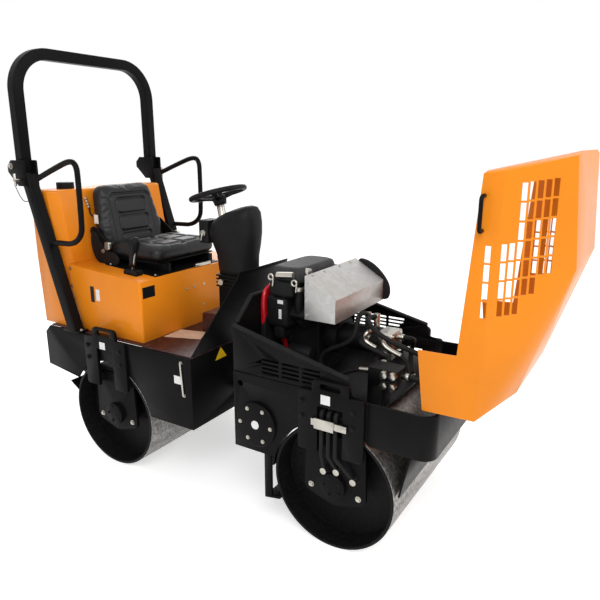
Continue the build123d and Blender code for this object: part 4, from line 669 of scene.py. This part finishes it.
def side_moulding(name, body, outline, first_y, last_y, finish, stands_for=None):
    """Round-edged plate with a smooth outline given by x and z, between two places across."""
    outline = cut_corners(outline)
    middle = [sum(values) / len(outline) for values in zip(*outline)]
    rings = []
    for share, size in PLATE_STEPS:
        y = first_y + (last_y - first_y) * share
        rings.append([spot(middle[0] + (x - middle[0]) * size, y, middle[1] + (z - middle[1]) * size)
                      for x, z in outline])
    return moulding(name, body, rings, finish, stands_for)


def box_top(x):
    """Height of the seat box's sloping top."""
    return BOX_TOP - BOX_DROP * (x - BOX_BACK) / (BOX_FRONT - BOX_BACK)


def engine_dress():
    """Covers that fill out the engine: fan shroud, air cleaner, cylinder and rocker covers."""
    body = "front_frame"
    rounded_block("fan_shroud", body, (830, -245, 765), (852, 245, 1050), 0, 8, "red_plastic")
    rounded_block("fan_shroud_foot", body, (829, -246, 700), (854, 246, 925), 0, 6, "black_plastic")
    rounded_block("cleaner_lid", body, (862, -226, 1066), (1044, 110, 1139), 2, 24, "grey_plastic",
                  "air_cleaner")
    rounded_block("cleaner_neck", body, (905, -58, 960), (1005, 58, 1072), 2, 8, "black_plastic")
    covers = (("cylinder", (853, 120, 852), (964, CYLINDER_COVER_FACE, 1006), 0, 16),
              ("rocker", (876, 165, 1002), (1002, 241, 1078), 1, 14),
              ("coil", (884, 150, 800), (940, 222, 868), 0, 12))
    for side, sign in SIDES:
        for name, low, high, along, edge in covers:
            faces = sorted((sign * low[1], sign * high[1]))
            rounded_block("_".join((side, name, "cover")), body, (low[0], faces[0], low[2]),
                          (high[0], faces[1], high[2]), along, edge, "black_plastic")


def engine_trim():
    """The engine's breather and lift loops, the heat shield's rim and two blank labels."""
    body = "front_frame"
    breather = [(924, -240, 1104), (966, -240, 1108), (1008, -240, 1112)]
    wire("breather", body, breather, 15.0, "bright_metal")
    for end, x, z in (("rear", 896, 1094), ("fore", 1018, 1080)):
        loop = [(x + LIFT_LOOP_RADIUS * cos(pi * turn / 5), -250, z + LIFT_LOOP_RADIUS * sin(pi * turn / 5))
                for turn in range(11)]
        wire(end + "_lift_loop", body, loop + [(x + 6, -246, z - 40)], 4.5, "bright_metal")
    low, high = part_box("shield_end")
    outline = [(1070, 1118), (1124, 1119), (1190, 1082), (1252, 1010), (1256, 944), (1230, 924),
               (1100, 924), (1070, 944)]
    side_moulding("shield_rim", body, outline, low.y / MM, high.y / MM, "rubber", "shield_end")
    label_face = CYLINDER_COVER_FACE + 0.5
    side_label("coil_label", body, 918, 972, 30, 17, label_face)
    side_label("cylinder_label", body, 924, 902, 15, 44, label_face)


def pipework():
    """Bent steel ends and short hoses beside the pumps."""
    body = "front_frame"
    upper_end = [(1310, -72, 868), (1296, -100, 862), (1284, -100, 834), (1304, -100, 814),
                 (1345, -100, 800)]
    upper_hose = [(1340, -100, 802), (1390, -104, 774), (1440, -118, 736), (1490, -150, 700)]
    lower_end = [(1366, -60, 846), (1372, -96, 838), (1392, -100, 806), (1462, -100, 786)]
    lower_hose = [(1456, -100, 788), (1490, -104, 772), (1520, -130, 734), (1520, -150, 700)]
    for name, steel, rubber in (("upper", upper_end, upper_hose), ("lower", lower_end, lower_hose)):
        wire(name + "_pipe_end", body, steel, 11.0, "bright_metal")
        wire(name + "_short_hose", body, rubber, 9.5, "hose_rubber")
    union = [(1322, -205, 733), (1360, -205, 737), (1404, -205, 741)]
    wire("side_union", body, union, 13.0, "bright_metal")
    hose = [(1330, -205, 734), (1280, -205, 722), (1230, -200, 690)]
    wire("side_hose", body, hose, 10.0, "hose_rubber")


def arch_flanges():
    """Bent edges of the front frame's drum arches, 6 mm clear of the drum."""
    axle = Vector((WHEELBASE, 0, AXLE_HEIGHT))
    inner, outer = AXLE_HEIGHT + 6, AXLE_HEIGHT + 17
    near, far = FRAME_FACE - 43, FRAME_FACE - 1
    for side, sign in SIDES:
        rings = []
        for turn in range(80, 178, 4):
            out = Vector((cos(radians(turn)), 0, sin(radians(turn))))
            rings.append([spot(*(axle + out * reach + Vector((0, sign * y, 0))))
                          for reach, y in ((inner, near), (outer, near), (outer, far), (inner, far))])
        made = moulding(side + "_arch_flange", "front_frame", rings, "black_paint")
        for face in made.data.polygons:
            face.use_smooth = False


def handrails():
    """Round handrails on the roll bar's posts, with wide bends."""
    route = [(-415, 1490), (-240, 1556), (-138, 1586), (-101, 1560), (-99, 1490), (-101, 1310),
             (-108, 1222), (-180, 1172), (-280, 1170), (-330, 1168)]
    for side, sign in SIDES:
        places = [(x, sign * POST_MIDDLE, z) for x, z in route]
        bar = wire(side + "_handrail", "rear_frame", places, 14.0, "black_paint")
        if side == "right":
            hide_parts("handrails")


def seat_trim():
    """Moulded seat sides with belt buckles, the seat's base plate, its front stop and a blank tag."""
    body = "rear_frame"
    outline = [(-276, 1206), (-236, 1210), (-204, 1146), (-159, 1112), (-98, 1100), (-68, 1070),
               (-88, 1032), (-190, 1026), (-252, 1056), (-280, 1126)]
    for side, sign in SIDES:
        side_moulding(side + "_seat_side", body, outline, sign * 241, sign * SEAT_SIDE_FACE, "black_plastic")
        near, far = sorted((sign * 250, sign * 270))
        rounded_block(side + "_belt_buckle", body, (-160, near, 1120), (-122, far, 1162), 1, 5,
                      "bright_metal")
    corners = [(x, y, box_top(x) + 1) for x, y in ((-160, -272), (208, -272), (208, 215), (-160, 215))]
    plate("seat_base_plate", body, corners, "black_paint", 4)
    rounded_block("seat_front_stop", body, (198, 16, 1016), (222, 140, 1035), 1, 3, "bright_metal")
    side_label("seat_tag", body, -282, 1246, 33, 48, 219)


def lever_knob():
    """Fat knob on the drive lever, in rings of place, radius and height."""
    sections = ((88, 17, 1062), (90, 15, 1085), (95, 18, 1120), (101, 24, 1150), (105, 29, 1175),
                (108, 28, 1195), (110, 20, 1207), (111, 8, 1212))
    rings = []
    for x, radius, z in sections:
        rings.append(soft_ring((x, -308, z), (radius * 0.9, 0, 0), (0, radius * 0.9, 0)))
    moulding("lever_knob", "rear_frame", rings, "black_plastic")


def tank_gauge():
    """Stack of rings at the tank's front, and the lead that hangs from it."""
    for step in range(4):
        lift = 15 * step
        ring = [(-344 - lean - lift / 6, -197 - lean - lift / 4, 1328 + rise + lift)
                for lean, rise in ((0, 0), (1, 4), (2, 9))]
        wire("tank_gauge_%d" % step, "rear_frame", ring, 9.0, "bright_metal")
    cord = [(-343, -196, 1330), (-340, -198, 1304), (-330, -196, 1284), (-312, -184, 1276),
            (-292, -172, 1280)]
    wire("tank_gauge_cord", "rear_frame", cord, 4.0, "rubber")


def labels():
    """Blank plates where the machine carries labels, and a near-black plate of painted shade at the seat
    box's slot.
    """
    side_label("front_leg_label", "front_frame", 1273, 658, 43, 40, LEG_FACE)
    side_label("rear_leg_label", "rear_frame", -34, 646, 41, 38, LEG_FACE)
    side_label("frame_label", "rear_frame", 462, 562, 42, 40, FRAME_FACE)
    # Near-black plate over the seat box's slot: painted shade for its dark opening
    side_label("box_slot_shade", "rear_frame", -140, 868, 28, 84, BOX_FACE, "dark_plate_and_slot_shade")
    side_label("box_label", "rear_frame", -98, 880, 27, 60, BOX_FACE)
    corners = [(BOX_FRONT, y, z) for y, z in ((-382, 928), (-300, 928), (-300, 984), (-382, 984))]
    plate("box_front_plate", "rear_frame", corners, "dark_plate_and_slot_shade", 0.8)
    corners = [(REAR_FRAME_FRONT, y, z) for y, z in ((-264, 640), (-177, 640), (-220, 698))]
    plate("frame_triangle", "rear_frame", corners, "yellow_plate", 0.8)


def upholster(node, seams, axis, depth=7.0, width=7.0, narrow=1.0, lean=0.0):
    """Seat pad swollen by cloth pressure from its CAD form, with sewn channels pressed in afterwards."""
    pad = nodes[node].copy()
    pad.data = nodes[node].data.copy()
    pad.name = node + "_cover"
    pad.modifiers.clear()
    pad.parent = None
    for key in list(pad.keys()):
        del pad[key]
    bpy.context.scene.collection.objects.link(pad)
    bpy.context.view_layer.objects.active = pad
    pad.data.remesh_voxel_size = 6 * MM
    with bpy.context.temp_override(active_object=pad, object=pad, selected_objects=[pad]):
        bpy.ops.object.voxel_remesh()
    soften(pad, narrow, lean)
    swell(pad)
    subdivide(pad)
    press(pad, seams, axis, depth, width)
    pad.data.materials.clear()
    pad.data.materials.append(FINISHES["vinyl"])
    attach(pad, "rear_frame")
    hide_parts(node)
    return pad


def soften(pad, narrow, lean):
    """Round the pad's form and bring it back to its full size, a little narrower and leaning if asked."""
    before = [vertex.co.copy() for vertex in pad.data.vertices]
    rounding = pad.modifiers.new("round", "SMOOTH")
    rounding.factor = 0.5
    rounding.iterations = 200
    posed = pad.evaluated_get(bpy.context.evaluated_depsgraph_get())
    after = [vertex.co.copy() for vertex in posed.data.vertices]
    pad.modifiers.clear()
    for axis in range(3):
        old = [point[axis] for point in before]
        new = [point[axis] for point in after]
        start, first = min(old), min(new)
        scale = (max(old) - start) / (max(new) - first)
        for point in after:
            point[axis] = start + (point[axis] - first) * scale
    low = min(point.z for point in after)
    rise = max(point.z for point in after) - low
    for vertex, point in zip(pad.data.vertices, after):
        vertex.co = (point.x - lean * MM * (point.z - low) / rise, point.y * narrow, point.z)


def swell(pad):
    """Cloth under pressure for a few frames, with each point's travel capped."""
    cap = 12 * MM
    start = [vertex.co.copy() for vertex in pad.data.vertices]
    cloth = pad.modifiers.new("cloth", "CLOTH")
    cloth.settings.use_pressure = True
    cloth.settings.uniform_pressure_force = 4.0
    cloth.settings.effector_weights.gravity = 0.0
    scene = bpy.context.scene
    for step in range(1, 21):
        scene.frame_set(step)
    posed = pad.evaluated_get(bpy.context.evaluated_depsgraph_get())
    moved = [vertex.co.copy() for vertex in posed.data.vertices]
    pad.modifiers.clear()
    scene.frame_set(1)
    for vertex, old, new in zip(pad.data.vertices, start, moved):
        shift = new - old
        if shift.length > cap:
            shift *= cap / shift.length
        vertex.co = old + shift


def subdivide(pad):
    """One smooth subdivision, kept in the mesh."""
    pad.modifiers.new("smooth", "SUBSURF").levels = 1
    posed = pad.evaluated_get(bpy.context.evaluated_depsgraph_get())
    mesh = bpy.data.meshes.new_from_object(posed)
    pad.modifiers.clear()
    pad.data = mesh
    smooth(pad)


def press(pad, seams, axis, depth, width):
    """Push the points near the seam lines into the pad, on the face that looks along the axis."""
    outward = Vector(axis)
    looks = [vertex.normal.dot(outward) for vertex in pad.data.vertices]
    for vertex, look in zip(pad.data.vertices, looks):
        if look > 0.2:
            near = min(seam(vertex.co) for seam in seams) / MM
            vertex.co -= outward * depth * MM * look * exp(-((near / width) ** 2))


def box_seam(first, second, low, high, corner, pick):
    """Distance to a rounded rectangle's outline; pick gives a point's two coordinates."""
    half = ((second - first) / 2, (high - low) / 2)
    middle = ((second + first) / 2, (high + low) / 2)

    def distance(point):
        a, b = pick(point)
        da = abs(a - middle[0]) - half[0] + corner
        db = abs(b - middle[1]) - half[1] + corner
        outside = Vector((max(da, 0), max(db, 0))).length
        return abs(outside + min(max(da, db), 0) - corner) * MM

    return distance


def upright(point):
    """A point's place across the seat and its height, in millimetres."""
    return point.y / MM, point.z / MM


def level(point):
    """A point's place across the seat and along it, in millimetres."""
    return point.y / MM, (point.x - AXLE_X) / MM


def seat():
    """Cushion and backrest with their sewn pads."""
    back = [box_seam(-142, 142, 1080, 1398, 34, upright)]
    back += [box_seam(-104, 104, low, low + 80, 20, upright) for low in (1102, 1196, 1290)]
    upholster("seat_backrest", back, (1, 0, 0), depth=10.0, narrow=0.96, lean=20.0)
    pads = [box_seam(-150, 150, -190, 150, 30, level)]
    pads += [box_seam(first, first + 132, low, low + 92, 16, level)
             for first in (-138, 6) for low in (-160, -56, 48)]
    upholster("seat_cushion", pads, (0, 0, 1), depth=8.0)


def ground():
    """Pale floor under the machine."""
    shape = bmesh.new()
    bmesh.ops.create_grid(shape, x_segments=1, y_segments=1, size=30.0)
    mesh = bpy.data.meshes.new("floor")
    shape.to_mesh(mesh)
    shape.free()
    floor = bpy.data.objects.new("floor", mesh)
    bpy.context.scene.collection.objects.link(floor)
    floor.data.materials.append(floor_finish())


def lamps():
    """Soft lamps that look at the machine's middle, places and sizes in metres."""
    aim = Vector((0, 0, 0.8))
    for name, place, size, power in (("key", (2.2, -3.6, 4.4), 3.2, 140),
                                     ("fill", (4.2, 1.5, 3.2), 3.0, 60),
                                     ("back", (-3.4, 3.0, 3.6), 3.0, 90)):
        lamp = bpy.data.lights.new(name, "AREA")
        lamp.size = size
        lamp.energy = power
        holder = bpy.data.objects.new(name, lamp)
        holder.location = place
        holder.rotation_euler = (aim - holder.location).to_track_quat("-Z", "Y").to_euler()
        bpy.context.scene.collection.objects.link(holder)


def surround():
    """White surround that lights the machine a little less than it is seen."""
    world = bpy.data.worlds.new("surround")
    bpy.context.scene.world = world
    world.use_nodes = True
    tree = world.node_tree
    background = tree.nodes["Background"]
    background.inputs["Color"].default_value = (1, 1, 1, 1)
    strength = tree.nodes.new("ShaderNodeMapRange")
    strength.inputs["To Min"].default_value = 0.6
    strength.inputs["To Max"].default_value = 1.0
    tree.links.new(seen_rays(tree), strength.inputs["Value"])
    tree.links.new(strength.outputs["Result"], background.inputs["Strength"])


def seen_rays(tree):
    """One for the rays that see the background: from the camera, mirrored or through glass."""
    path = tree.nodes.new("ShaderNodeLightPath")
    share = path.outputs["Is Camera Ray"]
    for ray in ("Is Glossy Ray", "Is Transmission Ray"):
        larger = tree.nodes.new("ShaderNodeMath")
        larger.operation = "MAXIMUM"
        tree.links.new(share, larger.inputs[0])
        tree.links.new(path.outputs[ray], larger.inputs[1])
        share = larger.outputs[0]
    return share


def floor_finish():
    """Pale floor that is seen as white, with the machine's shadow on it."""
    look = Shader("pale_floor", 0.8)
    look.color(look.ramp(look.noise(0.8), (0.3, (0.86, 0.86, 0.86)), (0.7, (0.9, 0.9, 0.9))))
    look.bsdf.inputs["Emission Color"].default_value = (1, 1, 1, 1)
    look.link(look.math("MULTIPLY", seen_rays(look.tree), 0.5), look.bsdf.inputs["Emission Strength"])
    return look.material


def camera():
    """Camera at the photograph's place."""
    lens = bpy.data.cameras.new("photo_camera")
    lens.lens = CAMERA_LENS
    lens.sensor_width = 36.0
    holder = bpy.data.objects.new("photo_camera", lens)
    holder.location = spot(*CAMERA_SPOT)
    holder.rotation_euler = (pi / 2 - radians(CAMERA_PITCH), 0, radians(CAMERA_YAW))
    bpy.context.scene.collection.objects.link(holder)
    bpy.context.scene.camera = holder


bpy.context.scene.view_settings.view_transform = "Standard"
dress_nodes()
drum_bolts()
frame_bolts()
trim()
column_cover()
hand_wheel()
engine_dress()
engine_trim()
pipework()
arch_flanges()
handrails()
seat_trim()
lever_knob()
tank_gauge()
labels()
seat()
ground()
lamps()
surround()
camera()
